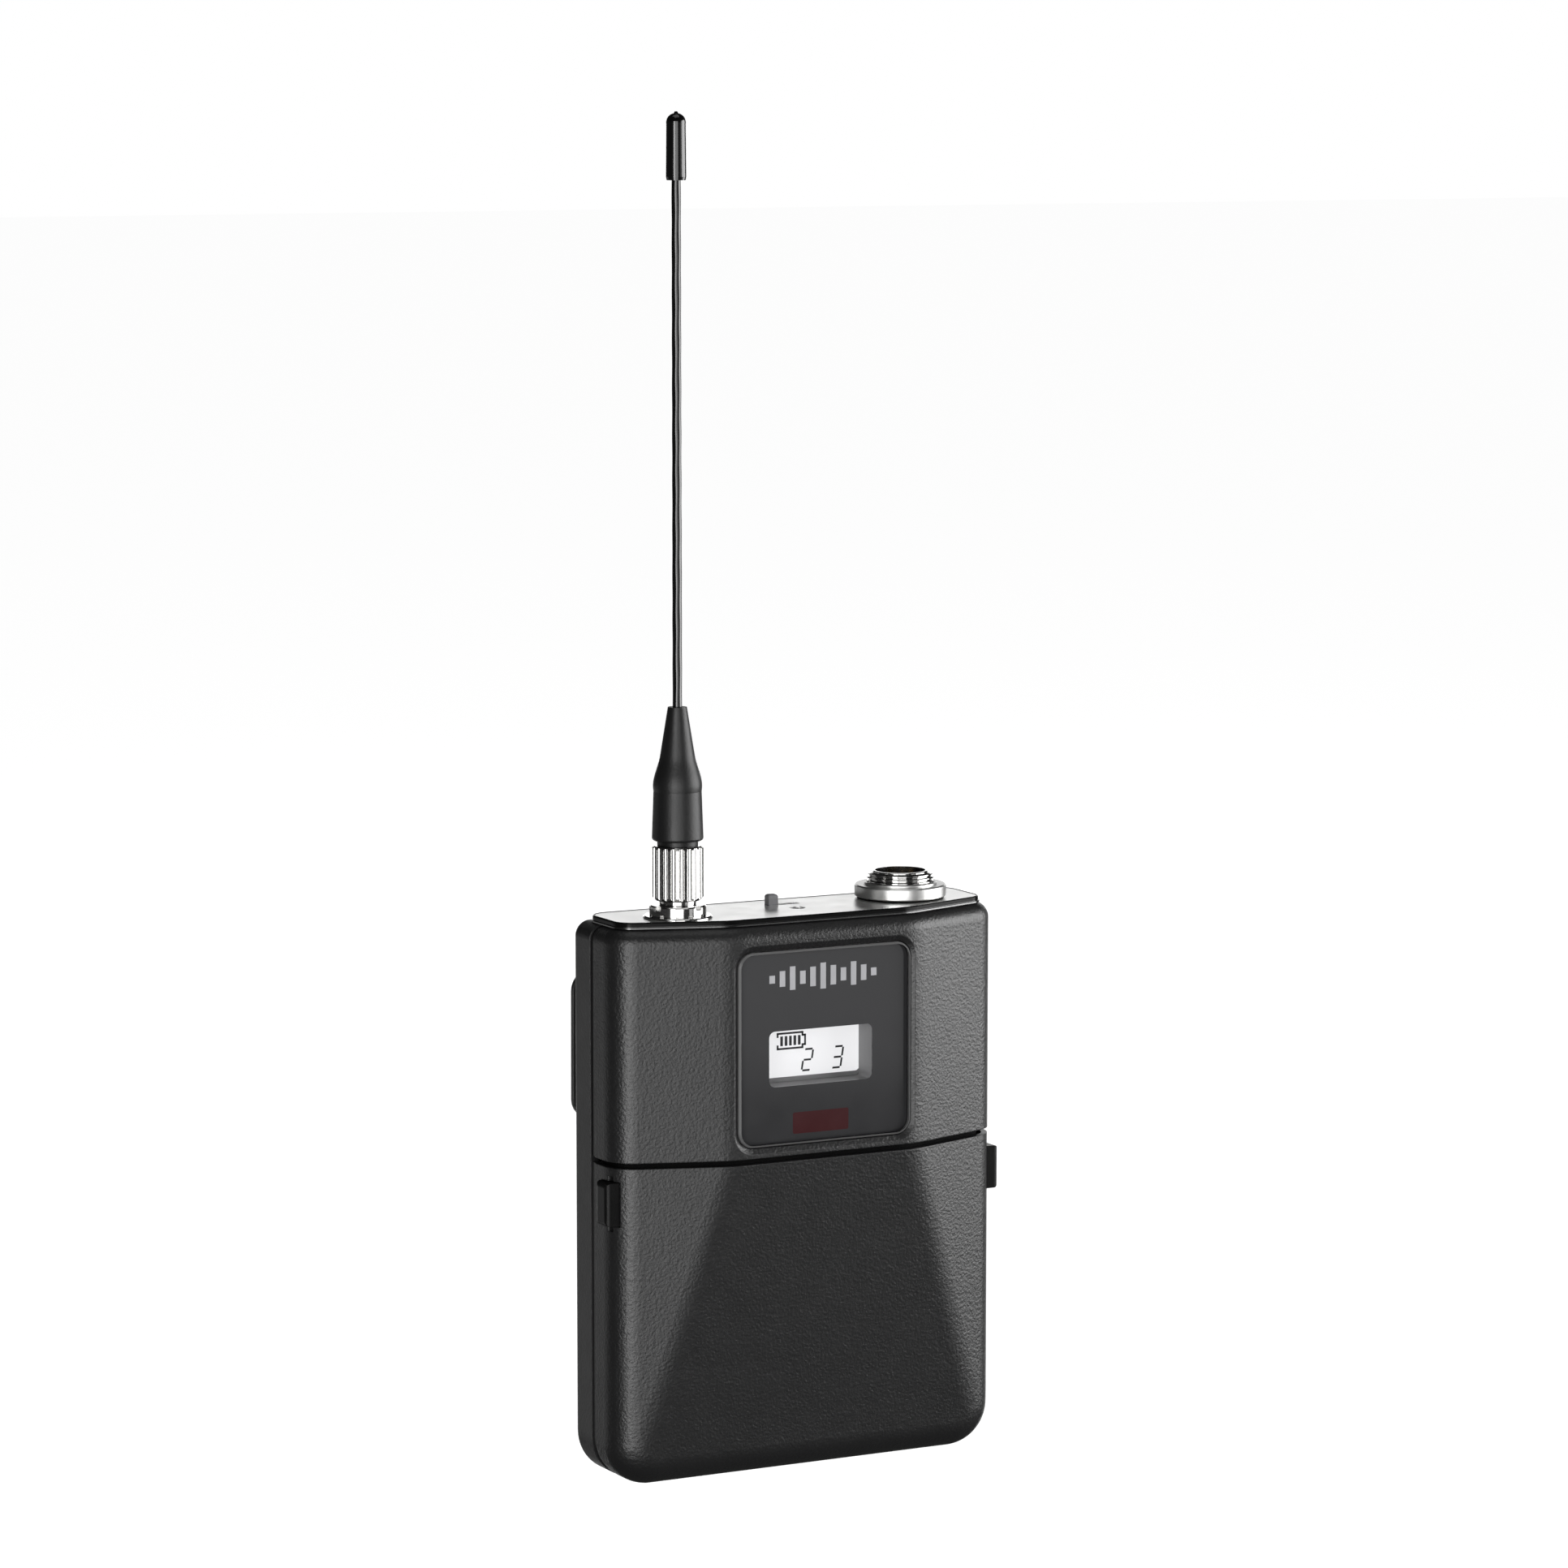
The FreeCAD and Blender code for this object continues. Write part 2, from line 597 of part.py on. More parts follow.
def board_posts_and_screws():
    """Screws with washered heads that hold the board on spacers against the back wall."""
    pieces = []
    for x, z in board_screw_places():
        head = rod_y(BOARD_Y - 1.2, BOARD_Y, x, z, 1.9)
        head = head.cut(box(x - 1.4, x + 1.4, BOARD_Y - 1.3, BOARD_Y - 0.7, z - 0.25, z + 0.25))
        shank = rod_y(BOARD_Y, BOARD_Y + BOARD_THICK, x, z, 1.0)
        spacer = rod_y(BOARD_Y + BOARD_THICK, INNER_BACK_Y, x, z, 2.0)
        pieces.append(joined([head, shank, spacer]))
    return Part.makeCompound(pieces)


def rf_shield_can():
    can = box(-23.5, -3.5, 3.0, BOARD_Y, 54.0, 73.0)
    lid = [e for e in can.Edges if all(v.Y < 3.01 for v in e.Vertexes)]
    can = can.makeFillet(0.5, lid)
    can = can.cut(box(-23.2, -3.8, 3.3, BOARD_Y, 54.3, 72.7))
    for i in range(5):
        for j in range(5):
            can = can.cut(rod_y(2, 4, -20.5 + i * 3.5, 56.5 + j * 3.5, 0.6))
    return can


def board_components():
    chips = [box(3, 11, 4.4, BOARD_Y, 55, 63), box(14, 19, 4.6, BOARD_Y, 56, 60),
             box(14, 22, 4.2, BOARD_Y, 64, 70)]
    for i in range(6):
        x = 4.0 + i * 3.4
        chips.append(box(x, x + 1.6, 5.0, BOARD_Y, 71.5, 72.3))
        chips.append(box(x, x + 1.0, 5.1, BOARD_Y, 52.4, 54.0))
    for z in (58.0, 62.0):
        chips.append(rod_y(3.2, BOARD_Y, 25.0, z + 5, 1.6))
    return Part.makeCompound(chips)


# ---- display -----------------------------------------------------------------------------------
def display_lens():
    lens = prism_y(rectangle(*lens_limits(0), LENS_CORNER), LENS_FRONT_Y, LENS_BACK_Y)
    front = [e for e in lens.Edges if all(v.Y < LENS_FRONT_Y + 0.01 for v in e.Vertexes)]
    return lens.makeChamfer(0.3, front)


def lens_mask():
    film = prism_y(rectangle(*lens_limits(-0.25), LENS_CORNER - 0.25), LENS_BACK_Y, MASK_BACK_Y)
    film = film.cut(prism_y(rectangle(*SCREEN, 1.0), LENS_BACK_Y - 1, MASK_BACK_Y + 1))
    return film.cut(prism_y(rectangle(*IR_WINDOW, 0.3), LENS_BACK_Y - 1, MASK_BACK_Y + 1))


def lens_gasket():
    ring = prism_y(rectangle(*lens_limits(-0.3), LENS_CORNER - 0.3), MASK_BACK_Y, LENS_FLOOR_Y)
    return ring.cut(prism_y(rectangle(-12.5, 12.5, 52.6, 80.4, 1.0), FRONT_Y, LENS_FLOOR_Y + 1))


def lcd_bezel():
    """Light tunnel from the mask back to the display panel."""
    outer = rectangle(*grown(SCREEN, 1.6), 1.0)
    tunnel = prism_y(outer, MASK_BACK_Y, LCD_Y)
    bore = rectangle(*grown(SCREEN, 0.15), 0.6)
    return tunnel.cut(prism_y(bore, MASK_BACK_Y - 1, LCD_Y + 1))


def lcd_panel():
    return prism_y(rectangle(*grown(SCREEN, 1.6), 0.5), LCD_Y, BACKLIGHT_Y)


def lcd_backlight():
    return prism_y(rectangle(*grown(SCREEN, 1.3), 0.5), BACKLIGHT_Y, DISPLAY_BOARD_Y)


def display_board():
    back = DISPLAY_BOARD_Y + 0.8
    board = box(-14, 14, DISPLAY_BOARD_Y, back, 52.5, 77.2)
    pins = box(4, 13, back, BOARD_Y, 74.6, 76.0)
    return board.fuse(pins)


def ir_filter():
    window = prism_y(rectangle(*IR_WINDOW, 0.3), LENS_BACK_Y, MASK_BACK_Y)
    plate = prism_y(rectangle(*grown(IR_WINDOW, 0.6), 0.3), MASK_BACK_Y, MASK_BACK_Y + 0.8)
    return window.fuse(plate).removeSplitter()


def ir_module():
    front = MASK_BACK_Y + 2.5
    body = box(-3.5, 3.5, front, DISPLAY_BOARD_Y, 53.4, 57.4)
    dome = Part.makeSphere(1.3, Vector(0, front, 55.4))
    return body.fuse(dome)


# ---- top of the case ---------------------------------------------------------------------------
def slot_cut(by, z0, z1):
    half_l = SWITCH_SLOT[0] / 2 + by
    half_w = SWITCH_SLOT[1] / 2 + by
    x, y = SWITCH
    corners = rectangle(x - half_l, x + half_l, y - half_w, y + half_w, 0.3)
    return prism_z(corners, z0, z1)


def top_holes(z0, z1):
    return joined([
        rod_z(z0, z1, ANTENNA, SOCKET_R + 0.05),
        rod_z(z0, z1, MIC, MIC_BARREL_R + 0.05),
        rod_z(z0, z1, LIGHT, LIGHT_R),
        slot_cut(0, z0, z1),
    ])


def top_cap():
    height, reach = CAP_FLANGE
    rim = prism_z(cap_corners(reach), CASE_TOP, CAP_TOP)
    edge = [e for e in rim.Edges if all(v.Z > CAP_TOP - 0.01 for v in e.Vertexes)]
    rim = rim.makeFillet(0.25, edge)
    flange = prism_z(cap_corners(0), CASE_TOP, CASE_TOP + height)
    nose = [e for e in flange.Edges if all(v.Z > CASE_TOP + height - 0.01 for v in e.Vertexes)]
    rim = rim.fuse(flange.makeFillet(0.12, nose))
    rim = rim.cut(prism_z(cap_corners(PLATE_INSET - 0.03), PLATE_FOOT, CAP_TOP + 1))
    plug = prism_z(plug_corners(0.05), INNER_TOP, CASE_TOP)
    cap = rim.fuse(plug)
    return cap.cut(top_holes(CASE_TOP - 3, CAP_TOP + 1)).removeSplitter()


def top_plate():
    plate = prism_z(cap_corners(PLATE_INSET), PLATE_FOOT, PLATE_TOP)
    return plate.cut(top_holes(CASE_TOP, PLATE_TOP + 1))


def power_switch_stem():
    left = STEM_LEFT
    half_w = SWITCH_SLOT[1] / 2 - 0.1
    y = SWITCH[1]
    stem_top = PLATE_TOP + STEM_PROUD
    stem = box(left, left + 1.6, y - half_w, y + half_w, 82.0, stem_top)
    top = [e for e in stem.Edges if all(v.Z > stem_top - 0.01 for v in e.Vertexes)]
    stem = stem.makeFillet(0.45, top)
    slider = box(left - 0.6, left + 2.2, y - 1.3, y + 1.3, 82.0, 83.4)
    return stem.fuse(slider).removeSplitter()


def power_switch_body():
    x, y = SWITCH
    body = box(x - 5.0, x + 5.0, y - 2.6, y + 2.6, 80.0, INNER_TOP)
    channel = box(STEM_LEFT - 0.65, STEM_LEFT + 2.25 + SWITCH_TRAVEL, y - 1.4, y + 1.4,
                  81.9, 83.6)
    return body.cut(channel).cut(slot_cut(0.05, 83, 86))


def power_light_pipe():
    pipe = rod_z(78.5, PLATE_FOOT - 0.2, LIGHT, LIGHT_R - 0.05)
    return pipe.fuse(rod_z(77.6, 79.0, LIGHT, 1.7)).removeSplitter()


# ---- antenna -----------------------------------------------------------------------------------
def sma_jack():
    """Threaded barrel of the antenna socket with its inner flange."""
    tip = SOCKET_TIP
    bore = SOCKET_BORE_R
    profile = [(bore, 80.0), (4.6, 80.0), (4.6, INNER_TOP), (SOCKET_R, INNER_TOP),
               (SOCKET_R, SOCKET_NUT_TOP), (SOCKET_NECK_R, SOCKET_NUT_TOP + 0.05),
               (SOCKET_NECK_R, COUPLING_Z[0] + 0.1), (SOCKET_R, COUPLING_Z[0] + 0.4),
               (SOCKET_R, tip - 0.5), (SOCKET_R - 0.5, tip), (bore + 0.3, tip),
               (bore + 0.3, 88.0), (bore, 88.0)]
    return turned(profile, ANTENNA)


def sma_insulator():
    outer = SOCKET_BORE_R - 0.05
    return turned([(0.5, 79.0), (outer, 79.0), (outer, 88.0), (0.5, 88.0)], ANTENNA)


def sma_contact():
    return turned([(0, 77.5), (0.45, 77.5), (0.45, 89.5), (0, 89.5)], ANTENNA)


def sma_washer():
    return turned([(SOCKET_R + 0.05, PLATE_TOP), (5.3, PLATE_TOP), (5.3, PLATE_TOP + 0.2),
                   (5.1, PLATE_TOP + 0.35), (SOCKET_R + 0.05, PLATE_TOP + 0.35)], ANTENNA)


def sma_nut():
    foot = PLATE_TOP + 0.35
    top = SOCKET_NUT_TOP
    outer = SOCKET_NUT_R
    nut = turned([(SOCKET_R + 0.02, foot), (outer, foot), (outer, top - 0.2),
                  (outer - 0.2, top), (SOCKET_R + 0.02, top)], ANTENNA)
    for angle in (20, 110):
        nut = nut.cut(cross_bar(ANTENNA, angle, 0.55, top - 0.6, top + 1, SOCKET_R + 0.6))
    teeth = 12
    for i in range(teeth // 2):
        angle = 180.0 * i / (teeth // 2)
        nut = nut.cut(cross_bar(ANTENNA, angle, 0.3, foot - 1, foot + 0.35, outer - 0.5))
    return nut


def cross_bar(at, angle, half_width, z0, z1, clear_r):
    """Bar through at that leaves a core of clear_r, for cutting two opposite slots."""
    bar = box(-12, 12, -half_width, half_width, z0, z1)
    bar = bar.cut(rod_z(z0 - 1, z1 + 1, (0, 0), clear_r))
    bar.rotate(Vector(0, 0, 0), Vector(0, 0, 1), angle)
    bar.translate(Vector(at[0], at[1], 0))
    return bar


def antenna_coupling_nut():
    """Knurled nut: upright flutes between two plain chamfered ends."""
    foot, top = COUPLING_Z
    outer = COUPLING_R
    bore = SOCKET_R + 0.06
    nut = turned([(bore, foot), (3.4, foot), (outer, foot + 0.55), (outer, top - 0.4),
                  (outer - 0.3, top), (1.0, top), (1.0, 94.2), (bore, 94.2)], ANTENNA)
    flutes = []
    for i in range(FLUTES):
        angle = 2 * math.pi * i / FLUTES
        at = (ANTENNA[0] + (outer + 0.07) * math.cos(angle),
              ANTENNA[1] + (outer + 0.07) * math.sin(angle))
        flutes.append(rod_z(foot - 0.1, top - 0.2, at, 0.42))
    return nut.cut(Part.makeCompound(flutes))


def antenna_pin():
    """Plug core inside the coupling nut: insulator with its centre pin."""
    top = COUPLING_Z[1]
    return turned([(0.6, 94.2), (0.95, 94.2), (0.95, top), (0, top), (0, 89.9), (0.4, 89.9),
                   (0.4, 93.7), (0.6, 93.7)], ANTENNA)


def antenna_collar():
    foot = COUPLING_Z[1]
    return turned([(0, foot), (COLLAR_R, foot), (COLLAR_R, BOOT_FOOT), (0, BOOT_FOOT)], ANTENNA)


def antenna_boot():
    """Soft boot: plain grip, a smooth shoulder, then a long cone up the whip."""
    def at(r, z):
        return Vector(ANTENNA[0] + r, ANTENNA[1], z)

    foot, top = BOOT_FOOT, BOOT_TOP
    grip_top = foot + 7.5
    cone_foot = foot + 13.1
    bore = WHIP_R + 0.01
    lip = Part.Arc(at(BOOT_R - 0.4, foot), at(BOOT_R - 0.08, foot + 0.18),
                   at(BOOT_R, foot + 0.5)).toShape()
    shoulder = Part.BSplineCurve()
    shoulder.interpolate([at(3.65, grip_top), at(3.42, grip_top + 2.6),
                          at(2.8, cone_foot - 1.0), at(2.6, cone_foot)])
    edges = [
        Part.makeLine(at(bore, foot), at(BOOT_R - 0.4, foot)),
        lip,
        Part.makeLine(at(BOOT_R, foot + 0.5), at(3.65, grip_top)),
        shoulder.toShape(),
        Part.makeLine(at(2.6, cone_foot), at(1.45, top)),
        Part.makeLine(at(1.45, top), at(bore, top)),
        Part.makeLine(at(bore, top), at(bore, foot)),
    ]
    return Part.Face(Part.Wire(edges)).revolve(at(0, 0), Vector(0, 0, 1), 360)


def antenna_whip():
    return rod_z(BOOT_FOOT, WHIP_TOP, ANTENNA, WHIP_R)


def antenna_tip():
    """Moulded end cap: slightly flared mouth, domed top with a small nib."""
    def at(r, z):
        return Vector(ANTENNA[0] + r, ANTENNA[1], z)

    foot, top = TIP_FOOT, ANTENNA_TOP
    bore = WHIP_R + 0.02
    outline = [at(bore, foot), at(1.45, foot), at(1.55, foot + 0.5), at(1.48, top - 1.9)]
    dome = Part.Arc(outline[-1], at(1.15, top - 0.75), at(0.35, top - 0.3))
    nib = [at(0.35, top - 0.3), at(0.2, top), at(0, top), at(0, WHIP_TOP),
           at(bore, WHIP_TOP), outline[0]]
    edges = [Part.makeLine(a, b) for a, b in zip(outline, outline[1:])]
    edges.append(dome.toShape())
    edges += [Part.makeLine(a, b) for a, b in zip(nib, nib[1:])]
    return Part.Face(Part.Wire(edges)).revolve(at(0, 0), Vector(0, 0, 1), 360)


# ---- microphone socket -------------------------------------------------------------------------
def mic_connector_shell():
    """Threaded barrel through the top, with three thread crests above the ring nut."""
    crests = []
    for i in range(MIC_CRESTS):
        top = MIC_TIP - 0.45 - i * MIC_PITCH
        crest_r = MIC_BARREL_R - (0.2 if i == 0 else 0)
        crests += [(crest_r, top), (crest_r, top - 0.12),
                   (MIC_BARREL_R - 0.4, top - 0.28), (MIC_BARREL_R - 0.4, top - 0.38)]
    profile = [(MIC_BORE_R, MIC_TIP), (MIC_LIP_R - 0.15, MIC_TIP), (MIC_LIP_R, MIC_TIP - 0.12),
               (MIC_LIP_R, MIC_TIP - 0.25)] + crests
    profile += [(MIC_BARREL_R, MIC_NUT_TOP), (MIC_BARREL_R, INNER_TOP),
                (6.2, INNER_TOP), (6.2, 83.2), (MIC_BARREL_R, 83.2), (MIC_BARREL_R, 79.0),
                (MIC_BORE_R, 79.0)]
    return turned(profile, MIC)


def mic_connector_gasket():
    return turned([(MIC_BARREL_R + 0.02, PLATE_TOP), (6.7, PLATE_TOP), (6.7, PLATE_TOP + 0.3),
                   (MIC_BARREL_R + 0.02, PLATE_TOP + 0.3)], MIC)


def mic_connector_nut():
    foot = PLATE_TOP + 0.3
    top = MIC_NUT_TOP
    outer = MIC_NUT_R
    bore = MIC_BARREL_R + 0.02
    collar_r, collar_height = MIC_COLLAR
    return turned([(bore, foot), (outer - 0.15, foot), (outer, foot + 0.15),
                   (outer, top - 0.2), (outer - 0.2, top), (collar_r, top),
                   (collar_r, top + collar_height - 0.1), (collar_r - 0.1, top + collar_height),
                   (bore, top + collar_height)], MIC)


def mic_pin_places():
    return [(MIC[0] + 1.9 * math.cos(math.radians(a)), MIC[1] + 1.9 * math.sin(math.radians(a)))
            for a in (45, 135, 225, 315)]


def mic_connector_insert():
    insert = turned([(0, 79.5), (MIC_BORE_R, 79.5), (MIC_BORE_R, 87.6), (0, 87.6)], MIC)
    key = box(MIC[0] - 0.5, MIC[0] + 0.5, MIC[1] + MIC_BORE_R - 0.9, MIC[1] + MIC_BORE_R - 0.15,
              87.5, 89.0)
    insert = insert.fuse(key)
    for at in mic_pin_places():
        insert = insert.cut(rod_z(79, 88, at, MIC_PIN_R + 0.02))
    return insert


def mic_connector_pins():
    pins = []
    for at in mic_pin_places():
        pin = rod_z(78.0, 89.2, at, MIC_PIN_R)
        tip = [e for e in pin.Edges if e.Closed and e.Vertexes[0].Z > 89.1]
        pins.append(pin.makeFillet(0.25, tip))
    return Part.makeCompound(pins)


# ---- belt clip ---------------------------------------------------------------------------------
def clip_bend():
    outer = rod_x(-STRAP_HALF, STRAP_HALF, BEND_Y, CLIP_BEND_Z, BEND_R)
    ring = outer.cut(rod_x(-STRAP_HALF, STRAP_HALF, BEND_Y, CLIP_BEND_Z, BEND_R - CLIP_SHEET))
    return ring.common(box(-STRAP_HALF, STRAP_HALF, BACK_Y, BACK_Y + 20, 0, CLIP_BEND_Z))


def clip_base():
    plate = prism_y(rectangle(-STRAP_HALF, STRAP_HALF, CLIP_BEND_Z - 1, CLIP_BASE_TOP, 2.0),
                    BACK_Y, BACK_Y + CLIP_SHEET)
    plate = plate.cut(box(-20, 20, BACK_Y - 1, BACK_Y + 2, CLIP_BEND_Z - 3, CLIP_BEND_Z + 2))
    plate = plate.fuse(box(-STRAP_HALF, STRAP_HALF, BACK_Y, BACK_Y + CLIP_SHEET,
                           CLIP_BEND_Z, CLIP_BEND_Z + 2))
    near = box(-20, 20, BACK_Y, BEND_Y - FLEX_GAP / 2, 0, CLIP_BEND_Z)
    plate = plate.fuse(clip_bend().common(near))
    for x, z in clip_screw_places():
        plate = plate.cut(rod_y(BACK_Y - 1, BACK_Y + 2, x, z, 1.0))
    return plate.removeSplitter()


def clip_blade():
    """Strap that widens into the paddle, leans towards the case and flares at its lip."""
    far = BACK_Y + CLIP_STAND_OFF
    near = far - CLIP_SHEET
    near_line = [(near, CLIP_BEND_Z), (near - CLIP_LEAN, CLIP_TOP - 2.2),
                 (near + CLIP_FLARE, CLIP_TOP)]
    far_line = [(y + CLIP_SHEET, z) for y, z in reversed(near_line)]
    rounds = [0, 6.0, 0.3, 0.3, 6.0 - CLIP_SHEET, 0]
    section = [(y, z, r) for (y, z), r in zip(near_line + far_line, rounds)]
    sheet = prism_x(section, -PADDLE_HALF, PADDLE_HALF)
    mask = [(-STRAP_HALF, CLIP_BEND_Z, 0), (STRAP_HALF, CLIP_BEND_Z, 0),
            (STRAP_HALF, PADDLE_FOOT - 7.5, 8.0), (PADDLE_HALF - 4.5, PADDLE_FOOT, 3.0),
            (PADDLE_HALF, PADDLE_FOOT, 3.0), (PADDLE_HALF, CLIP_TOP, 3.0),
            (-PADDLE_HALF, CLIP_TOP, 3.0), (-PADDLE_HALF, PADDLE_FOOT, 3.0),
            (-PADDLE_HALF + 4.5, PADDLE_FOOT, 3.0), (-STRAP_HALF, PADDLE_FOOT - 7.5, 8.0)]
    blade = sheet.common(prism_y(mask, BACK_Y, far + 5))
    away = box(-20, 20, BEND_Y + FLEX_GAP / 2, far + 1, 0, CLIP_BEND_Z)
    return blade.fuse(clip_bend().common(away)).removeSplitter()


def screw_y(x, z, face_y, sink, head_r, length):
    """Crosshead screw driven towards -Y with its head's face at face_y."""
    head = rod_y(face_y - sink, face_y, x, z, head_r)
    for dx, dz in ((0.9, 0.18), (0.18, 0.9)):
        head = head.cut(box(x - dx, x + dx, face_y - 0.45, face_y + 1, z - dz, z + dz))
    return head.fuse(rod_y(face_y - length, face_y - sink, x, z, 0.8)).removeSplitter()


def clip_screws():
    face = BACK_Y + CLIP_SHEET + 0.8
    return Part.makeCompound([screw_y(x, z, face, 0.8, 1.8, 3.8) for x, z in clip_screw_places()])


def case_screws():
    face = BACK_Y - 0.2
    return Part.makeCompound([screw_y(x, z, face, 0.7, 1.6, 4.2) for x, z in case_screw_places()])


# ---- write every node --------------------------------------------------------------------------
def main():
    right_latch = latch()
    right_spring = latch_spring()
    flip = (Vector(0, 0, 0), Vector(1, 0, 0))
    nodes = {
        "rear_case": rear_case(),
        "front_case": front_case(),
        "seam_gasket": seam_gasket(),
        "chassis": chassis(),
        "battery_door": battery_door(),
        "hinge_pins": hinge_pins(),
        "door_pad": door_pad(),
        "latch_right": right_latch,
        "latch_left": right_latch.mirror(*flip),
        "latch_spring_right": right_spring,
        "latch_spring_left": right_spring.mirror(*flip),
        "battery_tray": battery_tray(),
        "battery_upper": cell(CELL_Z[1], -1),
        "battery_lower": cell(CELL_Z[0], 1),
        "contact_springs": contact_springs(),
        "contact_plates": contact_plates(),
        "control_panel": control_panel(),
        "menu_button": push_button(BUTTON_X[0]),
        "enter_button": push_button(BUTTON_X[1]),
        "tact_switches": tact_switches(),
        "main_board": main_board(),
        "board_screws": board_posts_and_screws(),
        "rf_shield_can": rf_shield_can(),
        "board_components": board_components(),
        "display_lens": display_lens(),
        "lens_mask": lens_mask(),
        "lens_gasket": lens_gasket(),
        "lcd_bezel": lcd_bezel(),
        "lcd_panel": lcd_panel(),
        "lcd_backlight": lcd_backlight(),
        "display_board": display_board(),
        "ir_filter": ir_filter(),
        "ir_module": ir_module(),
        "top_cap": top_cap(),
        "top_plate": top_plate(),
        "power_switch_stem": power_switch_stem(),
        "power_switch_body": power_switch_body(),
        "power_light_pipe": power_light_pipe(),
        "sma_jack": sma_jack(),
        "sma_insulator": sma_insulator(),
        "sma_contact": sma_contact(),
        "sma_washer": sma_washer(),
        "sma_nut": sma_nut(),
        "antenna_coupling_nut": antenna_coupling_nut(),
        "antenna_pin": antenna_pin(),
        "antenna_collar": antenna_collar(),
        "antenna_boot": antenna_boot(),
        "antenna_whip": antenna_whip(),
        "antenna_tip": antenna_tip(),
        "mic_connector_shell": mic_connector_shell(),
        "mic_connector_gasket": mic_connector_gasket(),
        "mic_connector_nut": mic_connector_nut(),
        "mic_connector_insert": mic_connector_insert(),
        "mic_connector_pins": mic_connector_pins(),
        "clip_base": clip_base(),
        "clip_screws": clip_screws(),
        "clip_blade": clip_blade(),
        "case_screws": case_screws(),
    }
    os.makedirs("parts", exist_ok=True)
    for name, shape in nodes.items():
        shape.exportStep("parts/" + name + ".step")


main()
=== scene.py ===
"""Looks of the wireless bodypack transmitter: finishes, new meshes, studio and camera.

Everything is in the frame's metres. Values multiplied by MM are written in millimetres.
"""

import json
import math

import bmesh
import bpy
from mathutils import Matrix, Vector


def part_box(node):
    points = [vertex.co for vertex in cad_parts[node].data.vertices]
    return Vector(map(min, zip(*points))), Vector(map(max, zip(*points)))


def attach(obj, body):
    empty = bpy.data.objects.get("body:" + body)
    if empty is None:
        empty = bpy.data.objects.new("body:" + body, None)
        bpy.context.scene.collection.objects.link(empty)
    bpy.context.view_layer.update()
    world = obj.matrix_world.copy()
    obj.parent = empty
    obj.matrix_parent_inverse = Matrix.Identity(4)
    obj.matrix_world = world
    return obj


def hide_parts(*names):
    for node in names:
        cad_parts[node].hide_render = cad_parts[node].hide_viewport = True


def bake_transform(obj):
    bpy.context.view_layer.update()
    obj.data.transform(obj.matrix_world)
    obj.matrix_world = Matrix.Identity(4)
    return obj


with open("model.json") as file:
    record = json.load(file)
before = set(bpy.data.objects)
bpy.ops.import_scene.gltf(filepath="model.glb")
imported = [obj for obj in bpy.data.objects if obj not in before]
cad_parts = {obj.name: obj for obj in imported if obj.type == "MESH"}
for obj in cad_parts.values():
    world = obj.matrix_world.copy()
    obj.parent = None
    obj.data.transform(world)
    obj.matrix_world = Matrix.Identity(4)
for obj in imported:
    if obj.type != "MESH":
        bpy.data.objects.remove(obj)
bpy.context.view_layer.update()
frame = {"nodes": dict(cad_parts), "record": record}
NODES = frame["nodes"]
MM = 0.001


# ---- mesh helpers ------------------------------------------------------------------------------
def mesh_object(name, points, faces, smooth=True):
    """New mesh from points in metres in the frame."""
    mesh = bpy.data.meshes.new(name)
    mesh.from_pydata([tuple(p) for p in points], [], faces)
    mesh.polygons.foreach_set("use_smooth", [smooth] * len(mesh.polygons))
    mesh.update()
    obj = bpy.data.objects.new(name, mesh)
    bpy.context.scene.collection.objects.link(obj)
    return obj


def fixed_normals(obj):
    """Turns every face outwards."""
    work = bmesh.new()
    work.from_mesh(obj.data)
    bmesh.ops.recalc_face_normals(work, faces=work.faces)
    work.to_mesh(obj.data)
    work.free()


def baked(obj):
    """Replaces an object's mesh by what its modifiers make of it."""
    bpy.context.view_layer.update()
    graph = bpy.context.evaluated_depsgraph_get()
    mesh = bpy.data.meshes.new_from_object(obj.evaluated_get(graph))
    obj.modifiers.clear()
    obj.data = mesh


def tube_faces(rings, sides):
    """Walls of a tube between rings of points, and a flat face over each end."""
    faces = []
    for i in range(rings - 1):
        for k in range(sides):
            a, b = i * sides + k, i * sides + (k + 1) % sides
            faces.append((a, b, b + sides, a + sides))
    faces.append(tuple(reversed(range(sides))))
    faces.append(tuple(range((rings - 1) * sides, rings * sides)))
    return faces


def wire_tube(name, path, radius, sides=8):
    """Closed round wire along a path of points."""
    points = []
    last = len(path) - 1
    side = Vector((1, 0, 0))
    for i, here in enumerate(path):
        ahead = path[min(i + 1, last)] - path[max(i - 1, 0)]
        ahead.normalize()
        side = side - ahead * side.dot(ahead)
        side.normalize()
        up = ahead.cross(side)
        for k in range(sides):
            a = 2 * math.pi * k / sides
            points.append(here + (side * math.cos(a) + up * math.sin(a)) * radius)
    obj = mesh_object(name, points, tube_faces(len(path), sides))
    fixed_normals(obj)
    return obj


def plates(name, outlines, y_front, y_back):
    """Flat marks: each outline is a list of (x, z); all stand between two depths."""
    points, faces = [], []
    for outline in outlines:
        base = len(points)
        n = len(outline)
        points += [(x, y_front, z) for x, z in outline] + [(x, y_back, z) for x, z in outline]
        faces.append(tuple(base + i for i in range(n)))
        faces.append(tuple(base + n + i for i in reversed(range(n))))
        faces += [(base + i, base + n + i, base + n + (i + 1) % n, base + (i + 1) % n)
                  for i in range(n)]
    obj = mesh_object(name, points, faces, smooth=False)
    fixed_normals(obj)
    return obj


def bar(x0, z0, x1, z1):
    """Outline of an upright rectangle between two opposite corners."""
    return [(x0, z0), (x1, z0), (x1, z1), (x0, z1)]


